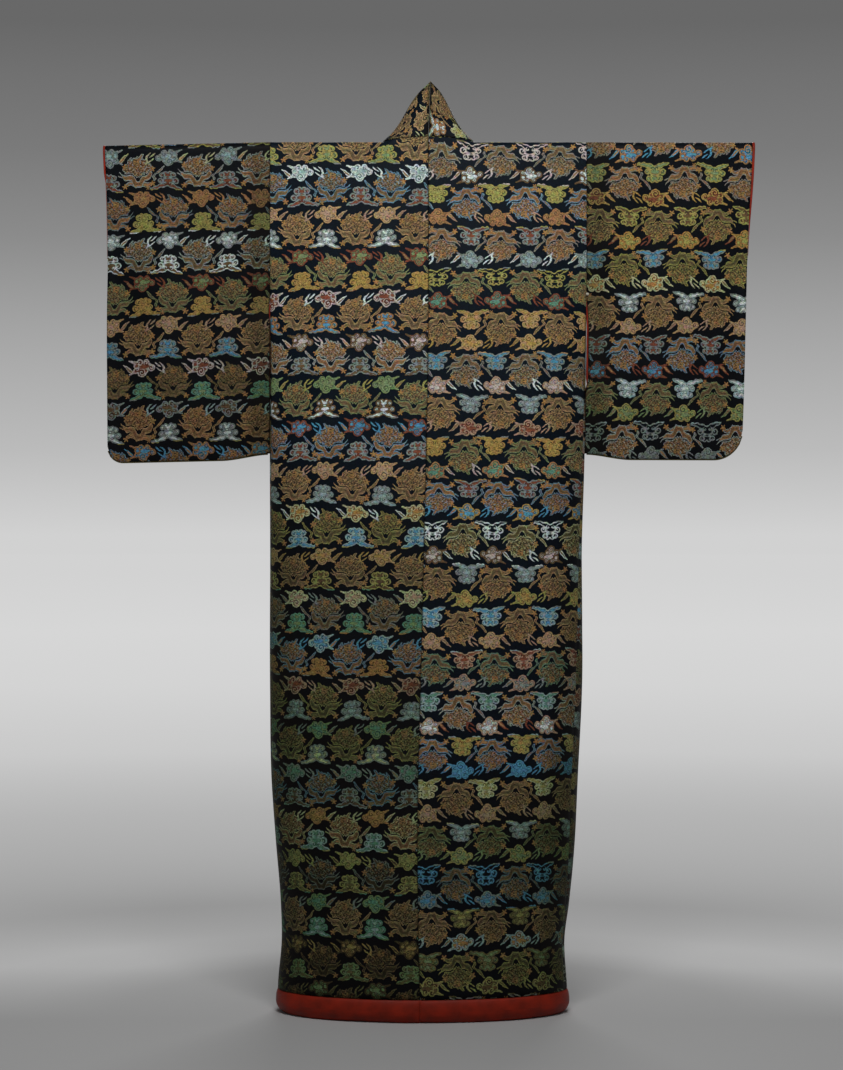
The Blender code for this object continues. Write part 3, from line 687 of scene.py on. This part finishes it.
# Dyed silks of the brocade, by the letters of the charts
YARNS = {
    "D": "#06101b", "W": "#cdd2d6", "K": "#95a7ad", "S": "#4b90b8", "G": "#7d8d60", "T": "#5d8f7c",
    "O": "#a0934b", "A": "#b08944", "R": "#84452f", "P": "#b08a74", "N": "#a8764a", "B": "#6d5034",
    "M": "#84898a", "C": "#b9b489", "U": "#876a48", "V": "#78693f", "F": "#8e6e4a", "X": "#c0acab",
    "Z": "#47788c", "Y": "#b07d3a", "Q": "#5f4a30", "H": "#b88f62",
}
# Row by row down each back panel: low cloud, its outline, high cloud, its outline, dragon, its outline, wisps
CHARTS = {
    "body_left": "GOKMUHP RMKWFSW WMPHFHP AAGRFGR SNRXUHW BMXBNKX WBGGUGO RMSRNSS KMPHFHP SKYCVOW BOAHUHA "
                 "GTPCFMM YYSKNSS KMRPVOP CMTGVOM BMTMFSM TKYYNCC VOOOQMO KTTGFHM VGAQQUA BVGQQUV",
    "body_right": "DXWBFMX OONNNSP RMKMNMW DOTRUGR AHAHUHA SMXPFMW KMRPUHP AATNUGX RMSANSS DWXBVCW KMAOUHO "
                  "SKPHFHP RPMPUTM TKWPNKR AOSSNSS OCPHFHP KMGOVGG DSSMFZS OVYKUHK GVBOVOO",
    "sleeve_left": "RMKMNKC OONNNZN BWWMFKW AAGRUGR SMPHFHP GTRXUVX WMBMNHK BOSNNSS",
    "sleeve_right": "AOSNNMS GORANMA BOOYUOR SMYCVOC WMPHFHP RMSRNSR WKGOUGG DMMMNKM",
    "collar_left": "UHUHFHC UHNHUHC BMNHFHN", "collar_right": "WNOCFHO GTUHFTC BMNHUHN",
}
# Row height and where the chart's first row begins, in metres of cloth, and 1 where rows count down as the
# cloth's place grows, -1 where they count up
ROWS = {
    "body_left": (0.0806, 0.0408, 1), "body_right": (0.0797, -0.0041, -1),
    "sleeve_left": (0.0796, 0.0859, 1), "sleeve_right": (0.0815, 0.0389, -1),
    "collar_left": (0.0800, 0.0450, -1), "collar_right": (0.0800, 0.0, -1),
}
# Painted shade: how light each sleeve's brocade is drawn, a darker copy of the body's, the left sleeve darkest
SLEEVE_PAINTED_SHADE = {"left": 0.70, "right": 0.88}
REPEAT = 0.1119
ROW = 0.0806
# The repeat's width and the row's height in mm, each with the place where its share from 0 to 1 starts
ACROSS = (REPEAT / MM, -REPEAT / MM / 2)
UP = (ROW / MM, 0)
REPEAT_STARTS = 0.0227
ODD_ROW_SHIFT = 0.4164
SILKS = ("Ground", "Low cloud", "Low outline", "High cloud", "High outline", "Dragon", "Dragon outline",
         "Wisps", "Claws")
# The ground of the sleeves' darker copies, part of their painted shade
SHADED_SLEEVE_GROUND = "#070b12"
CLAW_SILK = "#a87740"
DRAWN_THREAD = 0.0012
HALF_WIDTH_START = 4
HALF_WIDTH_SPAN = 16
STROKE_TIP = 0.004
SCROLL_TIGHTNESS = 1.25
LINE_SOFTENING = 0.28

# Motifs, in mm from the row's base line and from the middle of the dragon or cloud, as on rows that face
# right. Round parts are (across, up, radius), and strokes are knots of (along, middle, half width).
LOW_CLOUD = ((-10.6, 29.4, 4.6), (10.4, 29.2, 4.8), (-4.4, 32, 4.2), (4.4, 32, 4.2), (-13.4, 17.8, 5),
             (15.2, 17.6, 5.4))
LOW_CLOUD_TIERS = ((0, 29, 4.6), (0.4, 17.6, 5.6), (0, 24, 3.2), (0, 12, 4.4))
LOW_CLOUD_FOOT = ((-34, 4.6, 0.8), (-30, 2.8, 2.4), (-26, 4.6, 2.8), (-21, 4.2, 3.4), (-16, 7, 3.8),
                  (-8, 8.6, 4.8), (-1, 11.5, 4), (6, 8.6, 5), (12, 6.6, 4.4), (17, 3.4, 3.4),
                  (21, 3.4, 2.8), (27, 0.8, 0.8))
HIGH_CLOUD = ((-16, 64, 6), (-6, 73.6, 5.4), (6.4, 74.4, 5.4), (13.4, 68.6, 5.2), (-5, 59, 4.6),
              (2.2, 55.4, 8), (14, 59.8, 5))
HIGH_CLOUD_TIERS = ((-1, 67.4, 6.6), (2.4, 60.4, 5.8))
HIGH_CLOUD_MIDDLE = 66
HIGH_CLOUD_TAILS = ((10, 7, 3), (16, 8, 2.4), (20, 9.4, 1.8), (23.5, 11, 1.3), (28, 12.4, 0.4))
TASSEL = ((20, 56.5, 0.6), (23.5, 59.5, 3.4), (28, 63, 3.8), (31.5, 66.5, 3), (35, 69.4, 1.2),
          (39, 72, 0.4))
BAND = ((-31, 35, 0.8), (-28, 30.4, 3.4), (-23.5, 27.4, 4.8), (-17.5, 27.6, 4.9), (-12.6, 26.4, 5.4),
        (-9.4, 21.8, 8.6), (-7, 17.4, 9.2), (-3.6, 13.8, 6.4), (0, 12.8, 5.2), (3.6, 14, 6.2), (7, 18.4, 8.6),
        (9.4, 23, 6.6), (14, 25, 4.9), (18, 26.8, 5.4), (21.5, 30.4, 7), (25, 33, 3.8), (27, 34, 0.6))
FLAMES = (((-36, 41, 0.4), (-33.5, 37.6, 1.2), (-30, 34, 0.6)),
          ((-38, 33, 0.4), (-34.5, 31.6, 1.1), (-30, 28.6, 0.6)))
LEGS = (((-25.5, 11, 0.8), (-21.5, 14.2, 2.6), (-15.5, 16.4, 2.8), (-10, 14.5, 3.4), (-6, 12, 1.4)),
        ((4, 10, 0.8), (9, 12.4, 3.4), (14, 11.8, 4.2), (18, 10.6, 4.4), (22, 12.6, 3), (26.5, 14, 0.8)))
CLAWS = ((27, 13.6, 4.4), (-25, 10.4, 4.2), (-24.5, 49, 4), (27, 43, 4.2), (18, 5.6, 2.6))
RIBBON = ((18.5, 30.5, 0.6), (23, 31.8, 1.6), (27.5, 29.2, 1.5), (31, 31.4, 1.6), (34, 37, 2.4),
          (38, 41, 2.6), (43, 45, 1.6), (48.5, 49, 0.5))
WISPS = (((51, 13.5, 0.8), (56, 17.5, 1.9), (61.5, 16.5, 1.6), (67, 18, 1.7), (74, 25, 0.5)),
         ((54.5, 19, 1.2), (58, 24, 1.6), (63.5, 30.5, 0.4)),
         ((64.5, 22, 0.5), (68, 27.4, 1.7), (74, 33.5, 0.4)))
CREST = (((60, 3, 3.2), (65, 5.4, 2.8), (71, 9.5, 1)),
         ((57, -12, 2.2), (61, -14, 1.6), (66, -12.5, 0.5)))
HEAD = ((0, 43, 15), (-18, 44, 9.4), (18.5, 43, 9.6), (-12, 53, 8.6), (11, 53.4, 8.4), (-2, 58, 7.4),
        (-19.5, 40.5, 6), (20, 41, 6.4))
EYE = (0, 41.6, 0)
FACE_RADIUS = 5
BROW = (-2, 57, 0)
# Scrolls drawn in the clouds: middle, radius, and the turn of the line
LOW_SCROLLS = (((7.2, 29.4, 0), 4.4, 2.2), ((13.6, 17.6, 0), 5, 0.8), ((4.6, 12.4, 0), 4.2, 3.4))
HIGH_SCROLLS = (((-15.4, 64, 0), 4.6, 0.6), ((2.6, 56, 0), 6.8, 4), ((-5.6, 72.4, 0), 4.4, 2.4),
                ((7, 73.2, 0), 4.4, 5.2), ((12.4, 62, 0), 4.2, 1.2))


def linear(colour):
    """An sRGB hex colour as linear red, green and blue, and 1 for alpha."""
    parts = [int(colour[place:place + 2], 16) / 255 for place in (1, 3, 5)]
    parts = [part / 12.92 if part <= 0.04045 else ((part + 0.055) / 1.055) ** 2.4 for part in parts]
    return (*parts, 1.0)


class Work:
    """The node tree that nodes are being added to."""

    tree = None


def plug(socket, value):
    """Link a socket to another one, or set it to a plain value. None leaves it as it is."""
    if isinstance(value, bpy.types.NodeSocket):
        Work.tree.links.new(value, socket)
    elif value is not None:
        socket.default_value = value


def node(kind, *inputs, out=0, **settings):
    """Add a node with its settings, set or link its inputs in order, and return an output.

    Its kind may end with its operation, and a kind all in capitals is an operation of a Math node.
    """
    name, _, operation = ("Math " + kind if kind.isupper() else kind).partition(" ")
    made = Work.tree.nodes.new("ShaderNode" + name)
    if operation:
        made.operation = operation
    for key, value in settings.items():
        setattr(made, key, value)
    for socket, value in zip(made.inputs, inputs):
        plug(socket, value)
    return made.outputs[out]


def bent(value, points):
    """A value read off a smooth line through points, each a place and a height from 0 to 1."""
    curve = node("FloatCurve", 1.0, value)
    mapping = curve.node.mapping
    line = mapping.curves[0]
    for index, point in enumerate(points):
        if index < 2:
            line.points[index].location = point
        else:
            line.points.new(*point)
    mapping.update()
    return curve


def blended(below, colour, mask):
    """One colour over another by a mask. A Mix node's sockets for colours come after those for values."""
    made = node("Mix", data_type="RGBA").node
    for place, value in ((0, mask), (6, below), (7, colour)):
        plug(made.inputs[place], value)
    return made.outputs[2]


def read_off(share, stops, steps="LINEAR"):
    """A colour read off stops, each a place from 0 to 1 and an sRGB hex colour."""
    read = node("ValToRGB", share)
    ramp = read.node.color_ramp
    ramp.interpolation = steps
    for index, (at, colour) in enumerate(stops):
        stop = ramp.elements[index] if index < 2 else ramp.elements.new(at)
        stop.position = at
        stop.color = linear(colour)
    return read


def masked(mask, value, *span):
    """How far a value has come from one mark to another, times a mask."""
    return node("MULTIPLY", node("MapRange", value, *span), mask)


def least(distances, blend=0.0):
    """The smallest of several distances, rounded where they meet."""
    found = distances[0]
    for other in distances[1:]:
        found = node("SMOOTH_MIN", found, other, blend)
    return found


def lobes(point, table):
    """Distance from round parts that run together."""
    edges = [node("SUBTRACT", node("VectorMath DISTANCE", point, (x, y, 0), out=1), radius)
             for x, y, radius in table]
    return least(edges, 1.6)


def strokes(table, along_it, across_it, spans=(ACROSS, UP)):
    """Distances from strokes: how far a place is from each one's bent middle line, less its half width there.

    along_it and across_it run from 0 to 1 over spans, each a size and a start in mm. A curve holds only 0 to
    1, so half widths are kept in it as shares of HALF_WIDTH_SPAN, from -HALF_WIDTH_START up.
    """
    (long, first), (wide, low) = spans
    found = []
    for knots in table:
        places = [((at - first) / long, (middle - low) / wide, (half + HALF_WIDTH_START) / HALF_WIDTH_SPAN)
                  for at, middle, half in knots]
        middle = bent(along_it, [(place, height) for place, height, _ in places])
        ends = [(places[0][0] - STROKE_TIP, 0), *[(place, half) for place, _, half in places]]
        half = bent(along_it, ends + [(places[-1][0] + STROKE_TIP, 0)])
        away = node("ABSOLUTE", node("SUBTRACT", across_it, middle))
        away = node("MULTIPLY_ADD", away, wide, HALF_WIDTH_START)
        found.append(node("MULTIPLY_ADD", half, -HALF_WIDTH_SPAN, away))
    return found


def inside(distance, edge=0.0, soft=0.35):
    """1 where a distance is below edge and 0 beyond it, with a soft step between."""
    return node("MapRange", distance, edge + soft, edge - soft, 0.0, 1.0)


def rays(place, count, shift=0.0):
    """The sine of count times the angle round a middle, plus a shift: high along as many rays."""
    x, y, _ = node("SeparateXYZ", place).node.outputs
    angle = node("ARCTAN2", y, x)
    return node("SINE", node("MULTIPLY_ADD", angle, count, shift))


def spiral(place, turned):
    """One ray that turns with the distance from the middle: high along a spiral line. Also that distance."""
    away = node("VectorMath LENGTH", place, out=1)
    return rays(place, 1.0, node("MULTIPLY_ADD", away, SCROLL_TIGHTNESS, turned)), away


def scrolls(point, table):
    """Several spirals, each within its radius: 1 along their lines, -1 beside them, 0 elsewhere."""
    found = 0.0
    for middle, radius, start in table:
        line, away = spiral(node("VectorMath SUBTRACT", point, middle), start)
        found = node("MULTIPLY_ADD", line, inside(away, radius), found)
    return found


def weave_brocade():
    """The brocade's repeat as a node group: rows of a curled dragon and two clouds, every other row turned.

    A place in metres of cloth gives the row and the place in it. Each motif is a distance from its edge, in
    mm, and its silk is laid over the ground inside that edge, with its outline silk just outside.
    """
    tree = Work.tree = bpy.data.node_groups.new("brocade repeat", "ShaderNodeTree")
    sockets = [("Place", "INPUT", "Vector"), *[(silk, "INPUT", "Color") for silk in SILKS],
               ("Colour", "OUTPUT", "Color"), ("Raised", "OUTPUT", "Float")]
    for name, way, kind in sockets:
        tree.interface.new_socket(name, in_out=way, socket_type="NodeSocket" + kind)
    (place, ground, low_fill, low_line, high_fill, high_line, dragon_fill, dragon_line, wisp_fill,
     claw_fill) = tree.nodes.new("NodeGroupInput").outputs[:10]
    dragon_line = blended(dragon_line, dragon_fill, LINE_SOFTENING)

    for scale, detail, shift in ((55.0, 2.0, 0.0024), (210.0, 1.0, 0.0022)):
        wobble = node("TexNoise", place, None, scale, detail, out=1)
        place = node("VectorMath MULTIPLY_ADD", wobble, (shift, shift, 0), place)
    x, y, _ = node("SeparateXYZ", place).node.outputs
    rows = node("MULTIPLY", y, 1 / ROW)
    up = node("FRACT", rows)
    odd = node("FLOORED_MODULO", node("FLOOR", rows), 2.0)
    across = node("MULTIPLY_ADD", x, 1 / REPEAT, 0.5)
    across = node("FRACT", node("MULTIPLY_ADD", odd, ODD_ROW_SHIFT, across))
    across = node("ABSOLUTE", node("SUBTRACT", odd, across))
    beside = node("FRACT", node("ADD", across, 0.5))
    at_dragon, at_cloud = [node("VectorMath MULTIPLY_ADD", node("CombineXYZ", share, up),
                                (ACROSS[0], UP[0], 0), (ACROSS[1], 0, 0)) for share in (across, beside)]

    # Clouds, whose tiers are flat ovals
    flat = node("VectorMath MULTIPLY", at_cloud, (0.46, 1, 0))
    low = least([lobes(at_cloud, LOW_CLOUD), lobes(flat, LOW_CLOUD_TIERS),
                 *strokes([LOW_CLOUD_FOOT], beside, up)], 1.0)
    low_scrolls = scrolls(node("VectorMath ABSOLUTE", at_cloud), LOW_SCROLLS)
    from_middle = node("ABSOLUTE", node("SUBTRACT", up, HIGH_CLOUD_MIDDLE / UP[0]))
    high = least([lobes(at_cloud, HIGH_CLOUD), lobes(flat, HIGH_CLOUD_TIERS),
                  *strokes([HIGH_CLOUD_TAILS], beside, from_middle)], 1.2)
    high_scrolls = scrolls(at_cloud, HIGH_SCROLLS)

    # The dragon: a curly head, a bent body, legs and claws
    from_eye = node("VectorMath SUBTRACT", at_dragon, EYE)
    head = node("MULTIPLY_ADD", rays(from_eye, 17.0), -1.3, lobes(at_dragon, HEAD))
    band = strokes([BAND], across, up)[0]
    legs = least(strokes(LEGS, across, up))
    head, legs = [node("MAXIMUM", part, node("SUBTRACT", gap, band))
                  for part, gap in ((head, 3.8), (legs, 1.0))]
    body = least([head, band, legs, *strokes((RIBBON, *CREST), up, across, (UP, ACROSS))])
    flames = least(strokes(FLAMES, across, up))
    loose = least(strokes(WISPS, up, across, (UP, ACROSS)))
    tassel = strokes([TASSEL], beside, up)[0]
    claws = []
    for x, y, radius in CLAWS:
        spot = node("VectorMath SUBTRACT", at_dragon, (x, y, 0))
        away = node("SUBTRACT", node("VectorMath LENGTH", spot, out=1), radius)
        claws.append(node("MULTIPLY_ADD", rays(spot, 5.0), -1.8, away))
    claws = least(claws)

    # Curls of the mane wind round the cells of a Voronoi pattern, and those of the face round the eye
    on_head = inside(head, -1.0)
    cells = node("TexVoronoi", at_dragon, None, 0.15).node.outputs
    curl = node("VectorMath SUBTRACT", at_dragon, cells["Position"])
    on_face = inside(node("VectorMath LENGTH", from_eye, out=1), FACE_RADIUS)
    turned = node("MULTIPLY", node("SeparateXYZ", cells["Color"]), 9.0)
    curls = spiral(blended(curl, from_eye, on_face), turned)[0]
    curls = node("MULTIPLY", curls, on_head)
    edge = node("ABSOLUTE", node("ADD", band, 0.3))
    specks = node("TexNoise", at_dragon, None, 0.9, 0.0)
    brow = node("MapRange", node("VectorMath DISTANCE", at_dragon, BROW, out=1), 3.0, 8.0, 0.25, 0.0)
    fine = node("ADD", node("TexNoise", at_dragon, None, 0.26, 2.0, 0.6), brow)

    # Silks and where they lie, from the lowest up
    outline = least([flames, node("SUBTRACT", body, 0.8)])
    layers = [
        (dragon_line, inside(outline)),
        (ground, node("MULTIPLY", inside(body, -0.8), 0.85)),
        (dragon_fill, inside(body, -1.6)),
        (dragon_line, node("MapRange", curls, 0.50, 0.85)),
        (ground, node("MapRange", curls, -0.35, -0.80, 0.0, 0.70)),
        (dragon_line, inside(edge, 0.9)),
        (ground, node("MULTIPLY", inside(band, -3.4, 0.5), specks)),
        (claw_fill, masked(on_head, fine, 0.53, 0.66, 0.0, 0.85)),
        (claw_fill, inside(claws)),
        (wisp_fill, inside(least([loose, tassel]), 0.3)),
        (dragon_fill, inside(tassel, -1.6)),
    ]
    for shape, lines, fill, line in ((low, low_scrolls, low_fill, low_line),
                                     (high, high_scrolls, high_fill, high_line)):
        within = inside(shape, -1.4)
        layers += [
            (line, inside(shape, 0.5)),
            (ground, node("MULTIPLY", inside(shape, -1.6), 0.6)),
            (fill, inside(shape, -2.2)),
            (line, masked(within, lines, 0.25, 0.60)),
            (ground, masked(within, lines, -0.45, -0.85, 0.0, 0.85)),
        ]
    stretched = node("VectorMath MULTIPLY", at_dragon, (0.55, 1.2, 0))
    broken = node("TexNoise", stretched, None, 0.44, 2.0, 0.7)
    far_in = node("MapRange", head, -0.5, -2.0, 0.35, 1.0)
    layers.append((ground, masked(far_in, broken, 0.48, 0.58, 0.0, 0.85)))
    colour = ground
    for silk, mask in layers:
        colour = blended(colour, silk, mask)
    raised = inside(least([outline, claws, tassel, loose, low, high]), 0.2, 0.5)
    for socket, value in zip(tree.nodes.new("NodeGroupOutput").inputs, (colour, raised)):
        plug(socket, value)
    return tree


def new_material(name):
    """An empty node material, whose nodes are added next."""
    made = bpy.data.materials.new(name)
    made.use_nodes = True
    Work.tree = made.node_tree
    Work.tree.nodes.clear()
    return made


def finished(made, **sockets):
    """End a material with a Principled shader, whose sockets are named with _ for each space."""
    shader = node("BsdfPrincipled").node
    plug(Work.tree.nodes.new("ShaderNodeOutputMaterial").inputs[0], shader.outputs[0])
    for name, value in sockets.items():
        plug(shader.inputs[name.replace("_", " ")], value)
    return made


def brocade(panel, repeat, depth=1.0):
    """Silk brocade (karaori): a navy twill ground with thick unspun silk floated over it for the motifs.

    The floats stand up from the ground and catch a soft light, and the ground is satiny and nearly black. The
    silk is drawn darker, duller, greener and browner by a map of painted shade and tone that each piece
    carries:
    painted shade where less light falls on the garment, and on the body also darker cloth below its joins.
    depth is painted shade for a whole panel, how light it is drawn, below 1 on the sleeves. Floats are 0.4 mm
    threads in the real cloth and are drawn as 1.8 mm ribs, because a pixel of the render is 2 mm.
    """
    made = new_material("brocade silk " + panel.replace("_", " "))
    chart = CHARTS[panel].split()
    pitch, start, turn = ROWS[panel]
    cloth = node("UVMap", uv_map="cloth")
    painted_shade_and_tone = node("Attribute", attribute_name="painted_shade_and_tone", out=2)
    stretch = ROW / pitch
    place = node("VectorMath MULTIPLY_ADD", cloth, (1, stretch, 0), (REPEAT_STARTS, start * stretch, 0))
    drift = node("MapRange", node("TexNoise", place, None, 9.0, 1.0), 0.3, 0.7, -0.003, 0.003)
    place = node("VectorMath ADD", place, node("CombineXYZ", 0.0, drift))
    row = node("MULTIPLY", node("SeparateXYZ", place, out=1), 1 / ROW)
    row = node("MULTIPLY", node("FLOOR", row), -turn)
    row = node("FLOORED_MODULO", row, len(chart))
    share = node("MULTIPLY_ADD", row, 1 / len(chart), 0.5 / len(chart))
    # Each column of the chart gives the row's silk for one kind of motif
    silks = [read_off(share, [(index / len(chart), YARNS[yarn]) for index, yarn in enumerate(column)],
                      "CONSTANT") for column in zip(*chart)]
    ground = linear(YARNS["D"] if depth == 1.0 else SHADED_SLEEVE_GROUND)
    motifs = node("Group", place, ground, *silks, linear(CLAW_SILK), node_tree=repeat)
    silk, raised = motifs.node.outputs

    # Light and dark of the threads at random, times painted shade: darker where the map of painted shade and
    # tone is high, and in a dark line along each seam, as shade in its groove
    threads = node("TexNoise", node("VectorMath MULTIPLY", cloth, (270, 560, 1)), None, 1.0, 2.0)
    patches = node("TexNoise", cloth, None, 14.0, 3.0)
    seam = node("ABSOLUTE", node("SeparateXYZ", cloth))
    light = node("MapRange", threads, 0.3, 0.7, 0.49 * depth, 1.47 * depth)
    light = masked(light, patches, 0.3, 0.7, 0.86, 1.12)
    light = masked(light, painted_shade_and_tone, 0.0, 1.0, 1.0, 0.62)
    # Painted shade: the threads are drawn darker within 2.6 mm of each seam, as shade in its groove
    light = masked(light, seam, 0.0004, 0.0026, 0.35, 1.0)
    # The same map of painted shade and tone also darkens, dulls, greens and browns the silk: painted shade,
    # and on the body also darker cloth below its joins
    silk = node("Gamma", silk, node("MapRange", painted_shade_and_tone, 0.0, 1.0, 1.0, 1.26))
    dull = node("MapRange", painted_shade_and_tone, 0.0, 1.0, 0.10, 0.36)
    colour = blended(silk, node("RGBToBW", silk), dull)
    hues = node("TexNoise", cloth, None, 150.0, 2.0, out=1)
    hues = node("VectorMath MULTIPLY_ADD", hues, (0.9, 0.8, 0.9), (0.56, 0.71, 0.57))
    colour = node("VectorMath SCALE", node("VectorMath MULTIPLY", colour, hues), None, None, light)
    green = node("VectorMath MULTIPLY", colour, (0.72, 1.0, 0.70))
    colour = blended(colour, green, node("MapRange", painted_shade_and_tone, 0.25, 1.1, 0.0, 0.9))
    browned = node("VectorMath SCALE", (0.0034, 0.0018, 0.0010), None, None, painted_shade_and_tone)
    height = node("MULTIPLY_ADD", threads, 0.35, raised)
    return finished(made, Base_Color=node("VectorMath ADD", colour, browned),
                    Roughness=node("MULTIPLY_ADD", raised, 0.10, 0.56), IOR=1.5, Specular_IOR_Level=0.07,
                    Sheen_Weight=0.008, Sheen_Roughness=0.5, Normal=node("Bump", 0.45, 0.0009, None, height))


def plain_silk(name, light, dark):
    """Plain-weave dyed silk: even fine threads, a soft sheen, and dye that has faded a little in patches.

    Its threads are 0.15 mm apart and are drawn 1.2 mm apart, to show at all.
    """
    made = new_material(name)
    cloth = node("UVMap", uv_map="cloth")
    scale = 2 * math.pi / DRAWN_THREAD / 20
    one, other = [node("TexWave", cloth, scale, 0.6, out=1, bands_direction=axis) for axis in "XY"]
    weave = node("MULTIPLY", one, other)
    patches = node("TexNoise", cloth, None, 32.0, 3.0)
    mask = node("MULTIPLY_ADD", weave, 0.25, node("MapRange", patches, 0.35, 0.68, 0.0, 0.85))
    return finished(made, Base_Color=blended(linear(dark), linear(light), mask),
                    Roughness=node("MapRange", patches, 0.3, 0.7, 0.50, 0.66), IOR=1.5,
                    Specular_IOR_Level=0.22, Sheen_Weight=0.02, Sheen_Roughness=0.4,
                    Normal=node("Bump", 0.3, 0.0004, None, weave))


def studio_floor():
    """Matt pale studio floor with painted light: an emission glow, none at the garment and rising with the
    distance r from it to the backdrop's grey, stands in for the lamps' light on the floor. Within 1 m it glows
    only on the garment's +Y side, so the -Y side keeps the real shade of the lamps, and its own grey fades to
    black far out where the glow takes over. Grey and glow follow r as r / (r + 3).
    """
    made = new_material("matt studio floor")
    place = node("VectorMath MULTIPLY", node("TexCoord", out=3), (1, 1, 0))
    away = node("VectorMath LENGTH", place, out=1)
    # Painted light: the glow is kept to the garment's +Y side near it, and spreads all round from 1 to 2 m
    behind = node("MapRange", node("SeparateXYZ", place, out=1), -0.1, 0.5)
    behind = node("MAXIMUM", behind, node("MapRange", away, 1.0, 2.0))
    share = node("DIVIDE", away, node("ADD", away, 3.0))
    glow = node("VectorMath SCALE", read_off(share, FLOOR_GLOW), None, None, behind)
    return finished(made, Base_Color=read_off(share, FLOOR_GREYS), Emission_Color=glow,
                    Emission_Strength=1.0, Roughness=0.9, Specular_IOR_Level=0.0)


# The studio

def greys(*stops):
    """Stops of place and grey from 0 to 255, as places and hex colours."""
    return [(at, "#" + 3 * ("%02x" % grey)) for at, grey in stops]


FLOOR_GREYS = greys((0, 180), (0.25, 180), (0.5, 120), (0.70, 0))
# Painted light: the floor's glow, by r / (r + 3)
FLOOR_GLOW = greys((0, 0), (0.085, 50), (0.164, 70), (0.21, 108), (0.253, 116), (0.334, 115), (0.434, 144),
                   (0.545, 171), (0.667, 200), (0.785, 211), (0.87, 214), (0.95, 210))
# The backdrop's grey by the height of a direction above the horizon, as a share of BACKDROP_TOP: painted
# light, brightest at the horizon and falling off upwards
BACKDROP_GREYS = greys((0, 209), (0.16, 187), (0.39, 163), (0.56, 139), (0.72, 122), (0.85, 113),
                       (0.95, 104))
BACKDROP_TOP = 0.20
ROOM_LIGHT = (0.10, 0.10, 0.10, 1.0)
# Each lamp's name, place, the point that it faces, width and length, and watts
LAMPS = (("back lamp", (0.05, -2.1, 1.6), (0, 0, 0.05), (1.3, 1.0), 60),
         ("front lamp", (0.3, 3.0, 1.6), (0, 0, -0.3), (1.8, 1.2), 50))
CAMERA_PLACE = (-0.013, -5.0, -0.745)
LENS = 88.54
FLOOR_RADII = np.r_[0, np.geomspace(0.3, 120.0, 40)]


def make_floor():
    """A round floor: rings whose radii grow by a constant ratio, out to where it meets the backdrop."""
    turn = np.linspace(0, 2 * math.pi, 73)
    radii = FLOOR_RADII[:, None]
    places = places_at(radii * np.cos(turn), radii * np.sin(turn), -SHOULDER_HEIGHT)
    mesh = grid_mesh("floor", [(places, places[..., :2], 0 * places[..., 0])])
    weld(mesh, lambda spots: np.array([0.0, 0.0, 1.0]) + 0 * spots)
    mesh.materials.append(studio_floor())
    put("studio_floor", mesh)


def make_lamp(name, place, aim, size, watts):
    """A square soft lamp, turned to face a point."""
    lamp = bpy.data.lights.new(name, "AREA")
    lamp.shape = "RECTANGLE"
    lamp.size, lamp.size_y = size
    lamp.energy = watts
    made = put(name, lamp)
    made.location = place
    made.rotation_euler = (Vector(aim) - Vector(place)).to_track_quat("-Z", "Y").to_euler()


def make_backdrop():
    """The room: a grey backdrop with painted light, brightest at the horizon and darker upwards, where the
    camera sees it, and a dim light elsewhere.
    """
    world = bpy.data.worlds.new("grey backdrop")
    world.use_nodes = True
    tree = Work.tree = world.node_tree
    height = node("SeparateXYZ", node("TexCoord"), out=2)
    seen = read_off(node("MapRange", height, 0.0, BACKDROP_TOP), BACKDROP_GREYS)
    colour = blended(ROOM_LIGHT, seen, node("LightPath"))
    plug(tree.nodes["Background"].inputs["Color"], colour)
    bpy.context.scene.world = world


def make_camera():
    """The camera at the photograph's angle: level, behind the garment, a little left of its seam."""
    lens = bpy.data.cameras.new("camera")
    lens.lens = LENS
    lens.sensor_width = 36.0
    camera = put("camera", lens)
    camera.location = CAMERA_PLACE
    camera.rotation_euler = (math.pi / 2, 0, 0)
    bpy.context.scene.camera = camera
    bpy.context.scene.view_settings.view_transform = "Standard"


# Assembly

repeat = weave_brocade()
# The lining's red, faded in patches to a browner one
red_silk = plain_silk("red silk lining", "#96230a", "#721a06")
# Twisted seam silk, a dull olive that hides among the brocade's colours
seam_silk = plain_silk("olive silk seam", "#6f6434", "#4c4524")
# Undyed thread, gone cream with age
white_thread = plain_silk("white silk thread", "#d8d4c8", "#b8b2a2")
for hand, side in (("left", -1), ("right", 1)):
    body_silk = brocade("body_" + hand, repeat)
    sleeve_silk = brocade("sleeve_" + hand, repeat, SLEEVE_PAINTED_SHADE[hand])
    collar_silk = brocade("collar_" + hand, repeat)
    make_body(hand, side, [body_silk, red_silk])
    make_overlap(hand, side, [body_silk, red_silk])
    make_collar(hand, side, [collar_silk, red_silk])
    make_sleeve(hand, side, [sleeve_silk, red_silk])
    make_hem_roll(hand, side, red_silk)
    make_edges(hand, side, red_silk)
make_thread_knot()
make_floor()
for lamp in LAMPS:
    make_lamp(*lamp)
make_backdrop()
make_camera()
